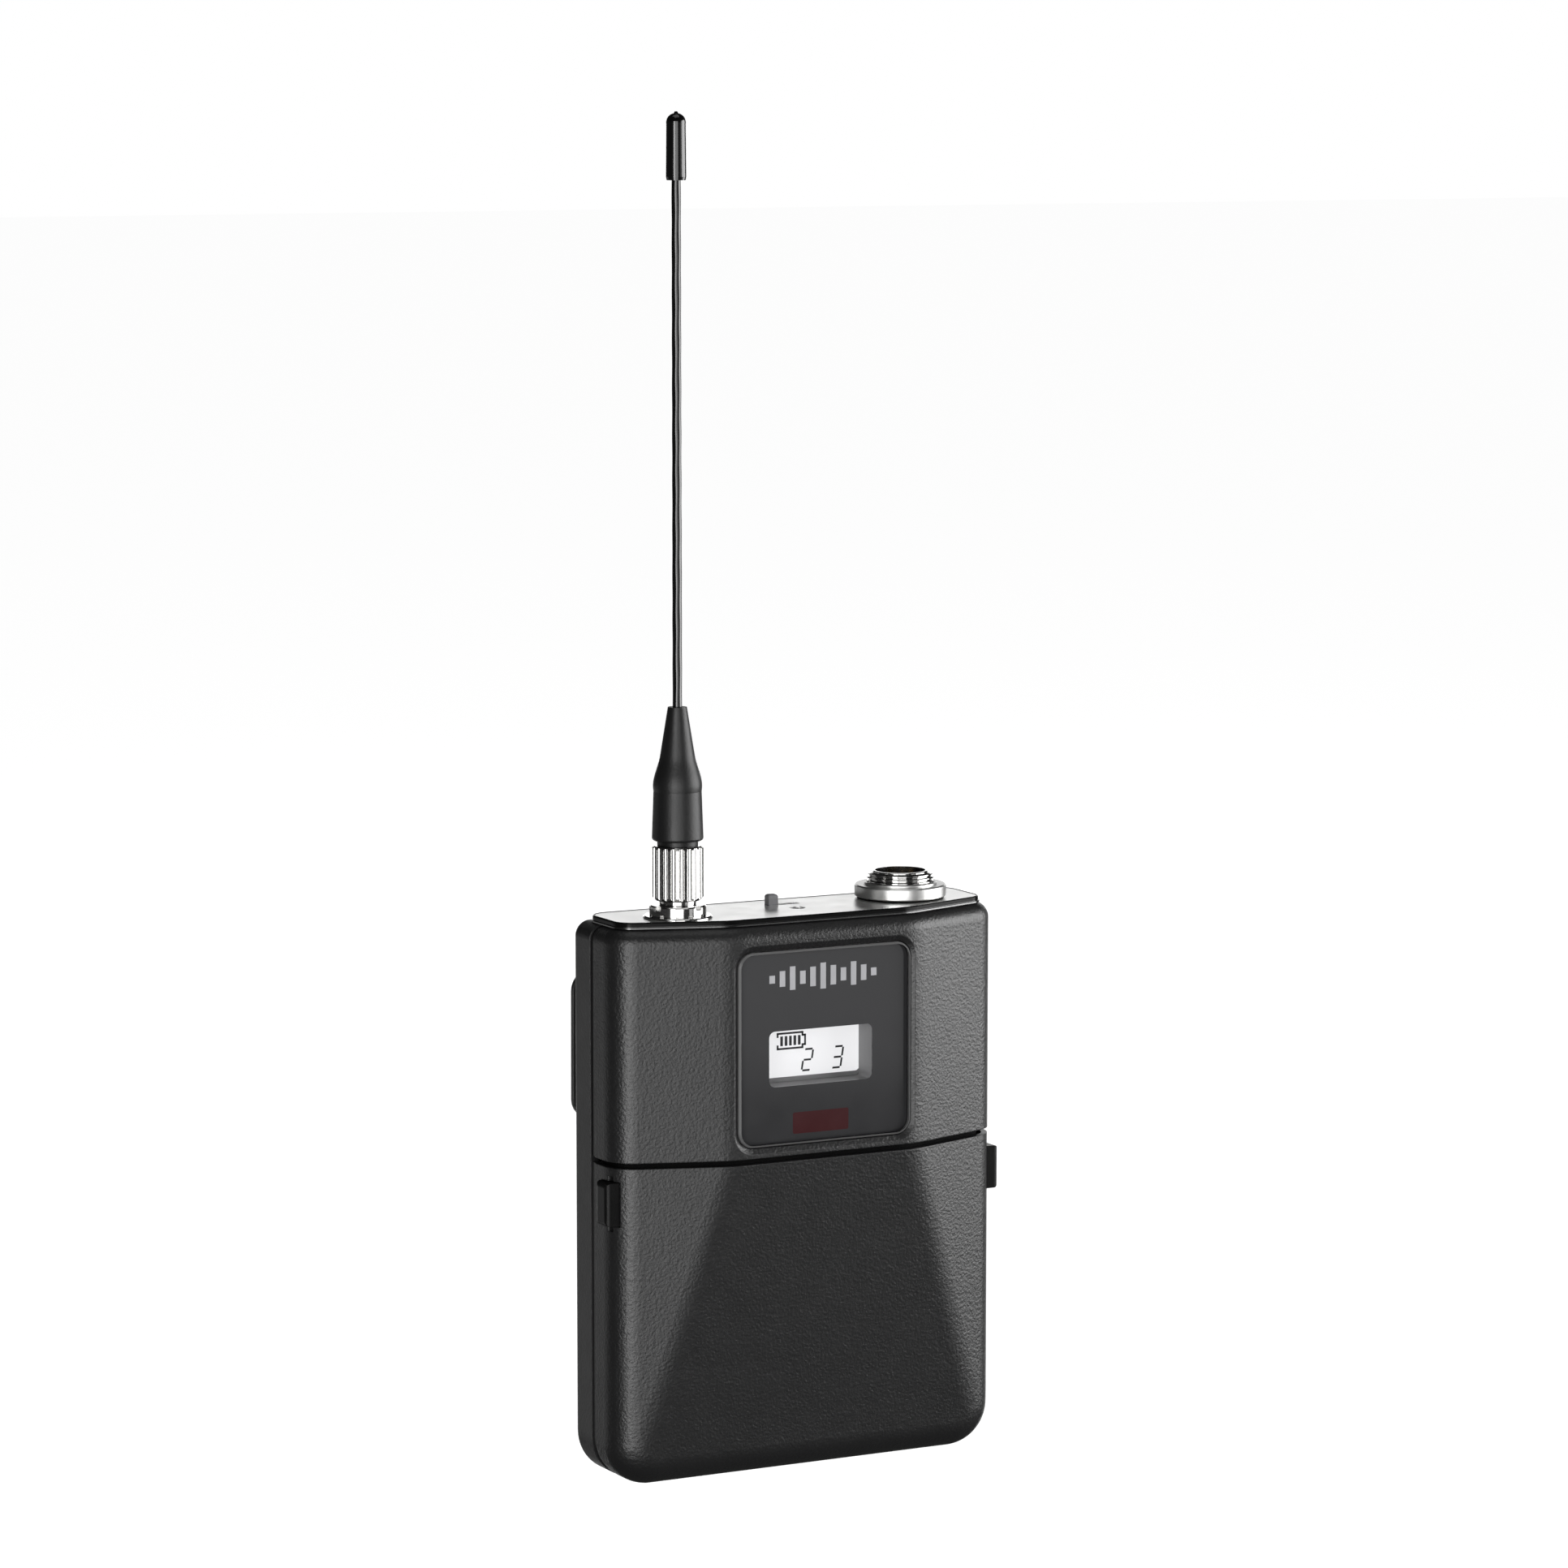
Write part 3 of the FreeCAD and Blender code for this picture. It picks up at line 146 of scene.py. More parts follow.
def in_metres(outlines):
    """Outlines drawn in millimetres, brought to the frame's metres."""
    return [[(x * MM, z * MM) for x, z in outline] for outline in outlines]


# ---- material helpers --------------------------------------------------------------------------
CLOUD_CELLS, CLOUD_DETAIL = 240, 4      # slow drift of colour and roughness
GRAIN_DETAIL = 2
COAT_ROUGHNESS = 0.12
EDGE_SAMPLES = 4
LENS_TINT = (0.95, 0.95, 0.955)
CUT_EDGE_TONE = (0.10, 0.10, 0.10, 1)
POLISH_FADE = 0.05 * MM


def value_ramp(tree, source, low, high, from_low=0.3, from_high=0.7):
    """Stretches a value's range to another one; the standard input range suits a noise."""
    node = tree.nodes.new("ShaderNodeMapRange")
    node.inputs["From Min"].default_value = from_low
    node.inputs["From Max"].default_value = from_high
    node.inputs["To Min"].default_value = low
    node.inputs["To Max"].default_value = high
    tree.links.new(source, node.inputs["Value"])
    return node.outputs["Result"]


def noise(tree, scale, detail=3.0, stretch=(1, 1, 1)):
    """Noise in the frame's own coordinates; scale is cells per metre."""
    place = tree.nodes.new("ShaderNodeTexCoord")
    mapping = tree.nodes.new("ShaderNodeMapping")
    mapping.inputs["Scale"].default_value = stretch
    tree.links.new(place.outputs["Object"], mapping.inputs["Vector"])
    node = tree.nodes.new("ShaderNodeTexNoise")
    node.inputs["Scale"].default_value = scale
    node.inputs["Detail"].default_value = detail
    tree.links.new(mapping.outputs["Vector"], node.inputs["Vector"])
    return node.outputs["Fac"]


def bump(tree, height, strength, distance, after=None):
    """Relief from a height value, on top of an earlier normal if there is one."""
    node = tree.nodes.new("ShaderNodeBump")
    node.inputs["Strength"].default_value = strength
    node.inputs["Distance"].default_value = distance
    tree.links.new(height, node.inputs["Height"])
    if after is not None:
        tree.links.new(after, node.inputs["Normal"])
    return node.outputs["Normal"]


def tinted(tree, colour, spread, factor):
    """Colour that drifts darker and lighter with a factor."""
    mix = tree.nodes.new("ShaderNodeMix")
    mix.data_type = "RGBA"
    mix.inputs["A"].default_value = (*[c * (1 - spread) for c in colour], 1)
    mix.inputs["B"].default_value = (*[min(1, c * (1 + spread)) for c in colour], 1)
    tree.links.new(factor, mix.inputs["Factor"])
    return mix.outputs["Result"]


def coordinate(tree, source, axis):
    """One coordinate of a vector."""
    split = tree.nodes.new("ShaderNodeSeparateXYZ")
    tree.links.new(source, split.inputs[0])
    return split.outputs[axis]


def surface(name, colour, roughness, metallic=0.0, specular=0.5, grain=None, grain_depth=0.0,
            grain_strength=0.3, spread=0.12, rough_spread=0.06, edge=0.0, stretch=(1, 1, 1),
            wear=0.0, coat=0.0):
    """Layered procedural finish: grain bump, drifting colour and roughness, softened edges."""
    material = bpy.data.materials.new(name)
    material.use_nodes = True
    tree = material.node_tree
    shader = tree.nodes["Principled BSDF"]
    cloud = noise(tree, CLOUD_CELLS, CLOUD_DETAIL)
    shader.inputs["Metallic"].default_value = metallic
    shader.inputs["Specular IOR Level"].default_value = specular
    shader.inputs["Coat Weight"].default_value = coat
    shader.inputs["Coat Roughness"].default_value = COAT_ROUGHNESS
    rough = value_ramp(tree, cloud, roughness - rough_spread, roughness + rough_spread)
    tree.links.new(rough, shader.inputs["Roughness"])
    base = tinted(tree, colour, spread, cloud)
    if wear:
        base = worn(tree, base, colour, wear)
    tree.links.new(base, shader.inputs["Base Color"])
    normal = None
    if edge:
        soft = tree.nodes.new("ShaderNodeBevel")
        soft.samples = EDGE_SAMPLES
        soft.inputs["Radius"].default_value = edge
        normal = soft.outputs["Normal"]
    if grain:
        height = noise(tree, grain, GRAIN_DETAIL, stretch)
        normal = bump(tree, height, grain_strength, grain_depth, normal)
    if normal is not None:
        tree.links.new(normal, shader.inputs["Normal"])
    return material


def worn(tree, base, colour, amount):
    """Paler rubbed patches where the surface is most exposed."""
    edge_starts, edge_ends = 0.52, 0.6
    patch_starts, patch_ends = 0.5, 0.75
    patch_cells, patch_detail = 700, 5
    rubbed = [min(1, c * 4 + 0.05) for c in colour]
    geometry = tree.nodes.new("ShaderNodeNewGeometry")
    edge = value_ramp(tree, geometry.outputs["Pointiness"], 0.0, 1.0, edge_starts, edge_ends)
    patches = noise(tree, patch_cells, patch_detail)
    patch = value_ramp(tree, patches, 0.0, amount, patch_starts, patch_ends)
    both = tree.nodes.new("ShaderNodeMath")
    both.operation = "MULTIPLY"
    tree.links.new(edge, both.inputs[0])
    tree.links.new(patch, both.inputs[1])
    mix = tree.nodes.new("ShaderNodeMix")
    mix.data_type = "RGBA"
    mix.inputs["B"].default_value = (*rubbed, 1)
    tree.links.new(both.outputs[0], mix.inputs["Factor"])
    tree.links.new(base, mix.inputs["A"])
    return mix.outputs["Result"]


def clear_lens(name):
    """Window that is clear from the front; its cut edge is frosted and catches the light.

    The gloss of the window sits on the print that is bonded to its back.
    """
    edge_facing, front_facing = 0.90, 0.97      # how squarely a face looks forward or back
    frost_roughness = 0.3
    tint_cells, tint_detail, tint_spread = 90, 4, 0.01
    material = bpy.data.materials.new(name)
    material.use_nodes = True
    tree = material.node_tree
    frosted = tree.nodes["Principled BSDF"]
    frosted.inputs["Base Color"].default_value = CUT_EDGE_TONE
    frosted.inputs["Roughness"].default_value = frost_roughness
    clear = tree.nodes.new("ShaderNodeBsdfTransparent")
    tint = tinted(tree, LENS_TINT, tint_spread, noise(tree, tint_cells, tint_detail))
    tree.links.new(tint, clear.inputs["Color"])
    geometry = tree.nodes.new("ShaderNodeNewGeometry")
    facing = tree.nodes.new("ShaderNodeMath")
    facing.operation = "ABSOLUTE"
    tree.links.new(coordinate(tree, geometry.outputs["True Normal"], "Y"), facing.inputs[0])
    cut_edge = value_ramp(tree, facing.outputs[0], 1.0, 0.0, edge_facing, front_facing)
    both = tree.nodes.new("ShaderNodeMixShader")
    tree.links.new(cut_edge, both.inputs[0])
    tree.links.new(clear.outputs[0], both.inputs[1])
    tree.links.new(frosted.outputs[0], both.inputs[2])
    tree.links.new(both.outputs[0], tree.nodes["Material Output"].inputs["Surface"])
    return material


def cap_finish(name, flange_top):
    """Deep black moulding whose narrow lower edge is polished and catches the light."""
    polished, matt = 1.0, 0.06
    material = surface(name, (0.003, 0.003, 0.003), 0.2, grain=3000, grain_depth=0.02 * MM,
                       edge=0.1 * MM, rough_spread=0.02)
    tree = material.node_tree
    place = tree.nodes.new("ShaderNodeTexCoord")
    height = coordinate(tree, place.outputs["Object"], "Z")
    shine = value_ramp(tree, height, polished, matt, flange_top, flange_top + POLISH_FADE)
    tree.links.new(shine, tree.nodes["Principled BSDF"].inputs["Specular IOR Level"])
    return material


def lit_panel(name, colour, glow):
    """Back-lit display face: white with a slight slow drift in its brightness."""
    drift_cells, drift_detail, dimmest = 45, 2, 0.93
    material = surface(name, colour, 0.4, spread=0.03)
    tree = material.node_tree
    shader = tree.nodes["Principled BSDF"]
    shader.inputs["Emission Color"].default_value = (1, 1, 1, 1)
    drift = noise(tree, drift_cells, drift_detail)
    strength = value_ramp(tree, drift, glow * dimmest, glow)
    tree.links.new(strength, shader.inputs["Emission Strength"])
    return material


# ---- materials ---------------------------------------------------------------------------------
CAP_FLANGE_TOP = 86.32 * MM
BRUSHED = (0.12, 0.12, 4)
PAINT_GREY = (0.0070, 0.0070, 0.0072)
PAINT_DARK = (0.0065, 0.0065, 0.0067)

MATERIALS = {
    "case_paint": surface("case_paint", PAINT_GREY, 0.39, grain=2300, grain_depth=0.14 * MM,
                          grain_strength=0.62, spread=0.05, rough_spread=0.015, edge=0.25 * MM,
                          wear=0.05),
    "rear_paint": surface("rear_paint", PAINT_DARK, 0.40, grain=2100, grain_depth=0.1 * MM,
                          grain_strength=0.3, spread=0.05, rough_spread=0.015, edge=0.25 * MM,
                          wear=0.05),
    "cap_plastic": cap_finish("cap_plastic", CAP_FLANGE_TOP),
    "silver_plate": surface("silver_plate", (0.90, 0.90, 0.89), 0.32, metallic=1.0, grain=5000,
                            grain_depth=0.02 * MM, grain_strength=0.12, edge=0.1 * MM, spread=0.015,
                            rough_spread=0.02),
    "lens_glass": clear_lens("lens_glass"),
    "lens_print": surface("lens_print", (0.026, 0.026, 0.027), 0.09, spread=0.04,
                          rough_spread=0.02),
    "lcd_grey": surface("lcd_grey", (0.19, 0.19, 0.19), 0.6, grain=4000, grain_depth=0.02 * MM,
                        spread=0.04),
    "lcd_white": lit_panel("lcd_white", (0.25, 0.25, 0.255), 0.76),
    "ir_red": surface("ir_red", (0.038, 0.010, 0.011), 0.09, spread=0.1, rough_spread=0.02),
    "gasket_rubber": surface("gasket_rubber", (0.002, 0.002, 0.002), 0.8, specular=0.08, grain=2500,
                             grain_depth=0.04 * MM),
    "black_plastic": surface("black_plastic", (0.006, 0.006, 0.006), 0.4, specular=0.3, grain=2400,
                             grain_depth=0.05 * MM, edge=0.15 * MM, rough_spread=0.03),
    "latch_plastic": surface("latch_plastic", (0.004, 0.004, 0.004), 0.34, specular=0.12,
                             grain=2600, grain_depth=0.05 * MM, edge=0.2 * MM, rough_spread=0.03),
    "spring_steel": surface("spring_steel", (0.55, 0.55, 0.54), 0.3, metallic=1.0, grain=3000,
                            grain_depth=0.02 * MM, stretch=(1, 1, 0.1)),
    "nickel": surface("nickel", (0.45, 0.447, 0.44), 0.12, metallic=1.0, grain=1400,
                      grain_depth=0.03 * MM, grain_strength=0.2, stretch=BRUSHED,
                      edge=0.06 * MM, spread=0.03, rough_spread=0.03),
    "insulator": surface("insulator", (0.75, 0.73, 0.68), 0.5, grain=2500, grain_depth=0.02 * MM),
    "pcb": surface("pcb", (0.012, 0.085, 0.035), 0.3, grain=900, grain_depth=0.03 * MM, spread=0.3),
    "components": surface("components", (0.02, 0.02, 0.021), 0.45, grain=2500,
                          grain_depth=0.03 * MM),
    "contact_brass": surface("contact_brass", (0.75, 0.55, 0.25), 0.25, metallic=1.0, grain=2500,
                             grain_depth=0.02 * MM),
    "cell_jacket": surface("cell_jacket", (0.012, 0.03, 0.06), 0.22, grain=800,
                           grain_depth=0.02 * MM, coat=0.4),
    "boot_rubber": surface("boot_rubber", (0.006, 0.006, 0.0062), 0.42, specular=0.36, grain=2600,
                           grain_depth=0.07 * MM, grain_strength=0.3, spread=0.05,
                           rough_spread=0.02),
    "whip_sleeve": surface("whip_sleeve", (0.002, 0.002, 0.002), 0.14, specular=0.6, grain=900,
                           grain_depth=0.03 * MM, grain_strength=0.2, rough_spread=0.03),
    "button_rubber": surface("button_rubber", (0.06, 0.06, 0.062), 0.6, grain=2600,
                             grain_depth=0.05 * MM, edge=0.2 * MM),
    "switch_grey": surface("switch_grey", (0.13, 0.13, 0.135), 0.45, grain=2800,
                           grain_depth=0.04 * MM, edge=0.2 * MM, spread=0.05),
    "light_pipe": surface("light_pipe", (0.010, 0.004, 0.004), 0.2, grain=2500,
                          grain_depth=0.02 * MM),
    "foam": surface("foam", (0.03, 0.03, 0.03), 0.9, grain=1400, grain_depth=0.3 * MM,
                    grain_strength=0.8),
    "clip_paint": surface("clip_paint", (0.008, 0.008, 0.008), 0.36, grain=2200,
                          grain_depth=0.06 * MM, edge=0.2 * MM, wear=0.1, rough_spread=0.03),
    "shield_tin": surface("shield_tin", (0.55, 0.55, 0.54), 0.35, metallic=1.0, grain=1500,
                          grain_depth=0.03 * MM),
}
SATIN_NICKEL = surface("satin_nickel", (0.60, 0.60, 0.59), 0.34, metallic=1.0, grain=1400,
                       grain_depth=0.03 * MM, grain_strength=0.2, stretch=BRUSHED,
                       edge=0.08 * MM, spread=0.03, rough_spread=0.03)
INK = surface("display_ink", (0.012, 0.012, 0.014), 0.5, grain=5000, grain_depth=0.01 * MM)
MARK_GREY = surface("mark_grey", (0.36, 0.36, 0.37), 0.45, grain=5000, grain_depth=0.01 * MM)
OWN_FINISH = {"mic_connector_nut": SATIN_NICKEL}


def finish_nodes():
    """Every CAD node takes the finish of its material slot, or its own where it has one."""
    slots = {s["node"]: s["material_slot"] for s in frame["record"]["subparts"]}
    for name, obj in NODES.items():
        obj.data.materials.clear()
        obj.data.materials.append(OWN_FINISH.get(name, MATERIALS[slots[name]]))


def dressed(obj, slot, body, material=None):
    """Gives a new mesh its body and its finish: its own, or else the finish of the slot."""
    obj.data.materials.clear()
    obj.data.materials.append(material or MATERIALS[slot])
    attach(obj, body)


# ---- display -----------------------------------------------------------------------------------
BATTERY_PLACE = (-5.55, 65.81)          # lower left corners of the marks, in millimetres
DIGIT_PLACES = {"2": (-1.28, 62.2), "3": (3.95, 62.2)}
STROKE = 0.30                           # line width of the battery symbol and the digits
SEGMENTS = {"2": "abged", "3": "abgcd"}
FIELD_RIGHT, FIELD_BOTTOM, FIELD_CORNER = 8.9 * MM, 61.6 * MM, 0.9 * MM
INK_RELIEF = 0.03 * MM
BORDER_RELIEF = 0.04 * MM
FILM_INSET = 0.02 * MM
MARK_RELIEF = 0.02 * MM


def display_marks():
    """Battery symbol and two slanted seven-segment digits on the display panel."""
    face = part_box("lcd_panel")[0].y
    outlines = battery_symbol(*BATTERY_PLACE)
    for figure, place in DIGIT_PLACES.items():
        outlines += digit(figure, *place)
    marks = plates("display_marks", in_metres(outlines), face - INK_RELIEF, face)
    dressed(marks, "components", "pack", INK)


def battery_symbol(x, z):
    """Open outline of a cell with five charge bars; sizes in millimetres."""
    long, tall, stub, nose = 4.6, 2.66, 0.75, 0.45
    bars, first, pitch, wide, inset = 5, 0.62, 0.76, 0.45, 0.58
    right, top, nose_right = x + long, z + tall, x + long + nose
    shapes = [
        bar(x, z, right, z + STROKE),
        bar(x, top - STROKE, right, top),
        bar(x, z, x + STROKE, z + stub),
        bar(x, top - stub, x + STROKE, top),
        bar(right - STROKE, z, right, z + stub),
        bar(right - STROKE, top - stub, right, top),
        bar(right - STROKE, z + stub - STROKE, nose_right, z + stub),
        bar(right - STROKE, top - stub, nose_right, top - stub + STROKE),
        bar(nose_right - STROKE, z + stub - STROKE, nose_right, top - stub + STROKE),
    ]
    for i in range(bars):
        left = x + first + i * pitch
        shapes.append(bar(left, z + inset, left + wide, top - inset))
    return shapes


def digit(figure, x, z):
    """Seven-segment figure that leans to the right; sizes in millimetres."""
    wide, tall, lean, trim = 1.5, 3.55, 0.16, 0.12
    half_tall, half_stroke = tall / 2, STROKE / 2
    strokes = {
        "a": (trim, tall - STROKE, wide - trim, tall),
        "b": (wide - half_stroke, half_tall + half_stroke, wide + half_stroke, tall - STROKE),
        "c": (wide - half_stroke, STROKE, wide + half_stroke, half_tall - half_stroke),
        "d": (trim, 0, wide - trim, STROKE),
        "e": (-half_stroke, STROKE, half_stroke, half_tall - half_stroke),
        "g": (trim, half_tall - half_stroke, wide - trim, half_tall + half_stroke),
    }
    return [[(x + u + lean * v, z + v) for u, v in bar(*strokes[s])] for s in SEGMENTS[figure]]


def display_border():
    """Grey frame on the display panel that limits its white field below and on the right."""
    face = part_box("lcd_panel")[0].y
    screen_low, screen_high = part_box("lcd_bezel")
    steps = 8
    inner = [(screen_low.x, FIELD_BOTTOM)]
    for i in range(steps + 1):
        a = math.pi / 2 * i / steps
        inner.append((FIELD_RIGHT - FIELD_CORNER + FIELD_CORNER * math.sin(a),
                      FIELD_BOTTOM + FIELD_CORNER - FIELD_CORNER * math.cos(a)))
    inner.append((FIELD_RIGHT, screen_high.z))
    outline = inner + [(screen_high.x, screen_high.z), (screen_high.x, screen_low.z),
                       (screen_low.x, screen_low.z)]
    border = plates("display_border", [outline], face - BORDER_RELIEF, face)
    dressed(border, "lcd_grey", "pack")


def printed_films():
    """Dark print and infra-red window, bonded a hair inside the back of the lens."""
    for node, slot in (("lens_mask", "lens_print"), ("ir_filter", "ir_red")):
        film = bpy.data.objects.new(node + "_film", NODES[node].data.copy())
        bpy.context.scene.collection.objects.link(film)
        film.matrix_world = NODES[node].matrix_world.copy()
        for point in film.data.vertices:
            point.co.y -= FILM_INSET
        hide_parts(node)
        dressed(film, slot, "pack")


def lens_mark():
    """Plain row of level bars printed at the top of the window, in place of any name."""
    heights = (1.2, 2.4, 3.6, 2.0, 3.0, 4.0, 3.0, 2.0, 3.6, 2.4, 1.2)
    step, wide, middle = 1.75, 0.95, 77.6
    outlines = []
    for i, tall in enumerate(heights):
        x = (i - (len(heights) - 1) / 2) * step
        outlines.append(bar(x - wide / 2, middle - tall / 2, x + wide / 2, middle + tall / 2))
    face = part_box("lens_mask")[0].y - FILM_INSET
    marks = plates("lens_mark", in_metres(outlines), face - MARK_RELIEF, face)
    dressed(marks, "lens_print", "pack", MARK_GREY)


# ---- antenna -----------------------------------------------------------------------------------
def antenna_whip():
    """Cable of two twisted strands that show faintly through a tight glossy sleeve."""
    low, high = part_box("antenna_whip")
    axis = (low + high) / 2
    radius = (high.x - low.x) / 2
    steps, sides, strands, lay, relief = 500, 24, 2, 14.0 * MM, 0.02
    points = []
    for i in range(steps + 1):
        z = low.z + (high.z - low.z) * i / steps
        for k in range(sides):
            a = 2 * math.pi * k / sides
            wave = math.cos(strands * (a - 2 * math.pi * z / lay))
            r = radius * (1 - relief + relief * wave)
            points.append((axis.x + r * math.cos(a), axis.y + r * math.sin(a), z))
    whip = mesh_object("antenna_whip_cable", points, tube_faces(steps + 1, sides))
    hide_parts("antenna_whip")
    dressed(whip, "whip_sleeve", "antenna")


# ---- springs -----------------------------------------------------------------------------------
LATCH_COIL = {"turns": 6, "wire": 0.2 * MM, "start_r": 1.0 * MM, "end_r": 1.0 * MM}
CONTACT_COIL = {"turns": 5, "wire": 0.3 * MM, "start_r": 2.4 * MM, "end_r": 3.6 * MM}
CONTACT_REACH = 3.2 * MM
COIL_STEPS = 24                         # points on each turn


def coil(name, room, turns, wire, start_r, end_r, flip=False):
    """Real helix along X in a box given by its two corners; flip starts it at the far end."""
    low, high = room
    centre = (low + high) / 2
    steps = turns * COIL_STEPS
    path = []
    for i in range(steps + 1):
        share = i / steps
        along = 1 - share if flip else share
        r = start_r + (end_r - start_r) * share
        a = 2 * math.pi * turns * share
        x = low.x + wire + (high.x - low.x - 2 * wire) * along
        path.append(Vector((x, centre.y + r * math.cos(a), centre.z + r * math.sin(a))))
    return wire_tube(name, path, wire)


def springs():
    """Latch springs in the door and one conical contact spring at each cell."""
    for node in ("latch_spring_left", "latch_spring_right"):
        obj = coil(node + "_coil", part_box(node), **LATCH_COIL)
        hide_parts(node)
        dressed(obj, "spring_steel", "door")
    low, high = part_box("contact_springs")
    for name, x0, flip in (("upper", high.x - CONTACT_REACH, False), ("lower", low.x, True)):
        cell_low, cell_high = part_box("battery_" + name)
        middle = (cell_low + cell_high) / 2
        room = (Vector((x0, middle.y, middle.z)),
                Vector((x0 + CONTACT_REACH, middle.y, middle.z)))
        obj = coil("contact_spring_" + name, room, flip=flip, **CONTACT_COIL)
        if name == "upper":
            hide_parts("contact_springs")
        dressed(obj, "spring_steel", "pack")


# ---- belt clip ---------------------------------------------------------------------------------
CLIP_SHEET = 0.8 * MM
CLIP_STAND_OFF = 9.6 * MM               # outer face of the blade, from the back of the case
CLIP_EDGE = 0.15 * MM
SHARP_EDGE = math.radians(50)           # edges that turn more than this are rounded
PLATE_CORNER = 2 * MM
PADDLE_FOOT = 53.4 * MM
PADDLE_CORNER = 3 * MM
SHOULDER_RISE = 7.5 * MM                # height of the curve from the strap to the paddle
SHOULDER_END = 0.3 * MM                 # where the curve's last row stops below the paddle
SHOULDER_INSET = 4.5 * MM               # where the curve ends inside the paddle's side
SHOULDER_CURVE = 2.2
LIP_RISE = 2.2 * MM
LIP_SPARE = 0.02 * MM
LIP_CURVE = 1.6
CLIP_LEAN = 0.5 * MM
CELLS_ACROSS = 16


def clip_sheet():
    """One bent sheet from the fixing plate round the bend to the flared lip."""
    base_low, base_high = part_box("clip_base")
    blade_low, blade_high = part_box("clip_blade")
    near_y = base_low.y + CLIP_SHEET / 2
    far_y = base_low.y + CLIP_STAND_OFF - CLIP_SHEET / 2
    bend_r = (far_y - near_y) / 2
    bend_z = blade_low.z + bend_r + CLIP_SHEET / 2
    strap = (base_high.x - base_low.x) / 2
    rows = plate_rows(near_y, base_high.z, bend_z, strap)
    rows += bend_rows(near_y, bend_z, bend_r, strap)
    rows += blade_rows(far_y, bend_z, blade_high, strap)
    obj = sheet_mesh("clip_sheet", rows)
    obj.data.materials.clear()
    obj.data.materials.append(MATERIALS["clip_paint"])
    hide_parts("clip_base", "clip_blade")
    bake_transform(obj)


def sheet_mesh(name, rows):
    """Flat grid through rows of (depth, height, half width), thickened and soft at its edges."""
    points, faces = [], []
    for y, z, half in rows:
        points += [(-half + 2 * half * k / CELLS_ACROSS, y, z) for k in range(CELLS_ACROSS + 1)]
    stride = CELLS_ACROSS + 1
    for i in range(len(rows) - 1):
        for k in range(CELLS_ACROSS):
            a = i * stride + k
            faces.append((a, a + 1, a + 1 + stride, a + stride))
    obj = mesh_object(name, points, faces)
    solid = obj.modifiers.new("thickness", "SOLIDIFY")
    solid.thickness = CLIP_SHEET
    solid.offset = 0
    round_edge = obj.modifiers.new("edge", "BEVEL")
    round_edge.width = CLIP_EDGE
    round_edge.segments = 2
    round_edge.limit_method = "ANGLE"
    round_edge.angle_limit = SHARP_EDGE
    baked(obj)
    return obj


def rounded_half_width(half, corner, beyond):
    """Half width of a rounded rectangle, at a distance beyond the start of its corners."""
    return half - corner + math.sqrt(max(0.0, corner ** 2 - beyond ** 2))


def plate_rows(y, top, foot, strap):
    """Rows down the fixing plate, from its rounded top corners to the bend."""
    corner_steps, straight_steps = 5, 14
    rows = []
    for i in range(corner_steps):
        drop = PLATE_CORNER * (1 - math.cos(math.pi / 2 * i / corner_steps))
        rows.append((y, top - drop, rounded_half_width(strap, PLATE_CORNER, PLATE_CORNER - drop)))
    for i in range(straight_steps + 1):
        share = i / straight_steps
        z = top + (foot - top) * share
        if z < top - PLATE_CORNER:
            rows.append((y, z, strap))
    return rows


def bend_rows(near_y, bend_z, bend_r, strap):
    """Rows round the half circle at the bottom."""
    steps = 24
    rows = []
    for i in range(1, steps):
        a = math.pi * i / steps
        rows.append((near_y + bend_r - bend_r * math.cos(a), bend_z - bend_r * math.sin(a), strap))
    return rows


def blade_rows(far_y, bend_z, blade_high, strap):
    """Rows up the blade, which leans towards the case and flares at its lip."""
    top = blade_high.z
    lip_z = top - LIP_RISE
    flare = blade_high.y - (far_y + CLIP_SHEET / 2 - CLIP_LEAN) - LIP_SPARE
    rows = []
    for z in blade_heights(bend_z, top):
        lean_share = min(1.0, (z - bend_z) / (lip_z - bend_z))
        flare_share = max(0.0, (z - lip_z) / (top - lip_z))
        y = far_y - CLIP_LEAN * lean_share + flare * flare_share ** LIP_CURVE
        rows.append((y, z, blade_half_width(z, strap, blade_high.x, top)))
    return rows


def blade_heights(bend_z, top):
    """Heights of the blade's rows: strap, shoulder, lower corners, paddle, upper corners."""
    shoulder = PADDLE_FOOT - SHOULDER_RISE
    shoulder_reach = SHOULDER_RISE - SHOULDER_END
    paddle_reach = top - 2 * PADDLE_CORNER - PADDLE_FOOT
    quarter = math.pi / 2
    heights = [bend_z + (shoulder - bend_z) * i / 8 for i in range(9)]
    heights += [shoulder + shoulder_reach * i / 10 for i in range(1, 11)]
    heights += [PADDLE_FOOT + PADDLE_CORNER * (1 - math.cos(quarter * i / 6)) for i in range(7)]
    heights += [PADDLE_FOOT + PADDLE_CORNER + paddle_reach * i / 8 for i in range(1, 9)]
    heights += [top - PADDLE_CORNER + PADDLE_CORNER * math.sin(quarter * i / 8)
                for i in range(1, 9)]
    return heights


def blade_half_width(z, strap, paddle, top):
    """Half width of the blade at a height: strap, curved shoulder, rounded paddle."""
    shoulder = PADDLE_FOOT - SHOULDER_RISE
    if z <= shoulder:
        return strap
    if z < PADDLE_FOOT:
        share = (z - shoulder) / (PADDLE_FOOT - shoulder)
        return strap + (paddle - SHOULDER_INSET - strap) * share ** SHOULDER_CURVE
    beyond = max(0.0, PADDLE_FOOT + PADDLE_CORNER - z, z - (top - PADDLE_CORNER))
    return rounded_half_width(paddle, PADDLE_CORNER, beyond)


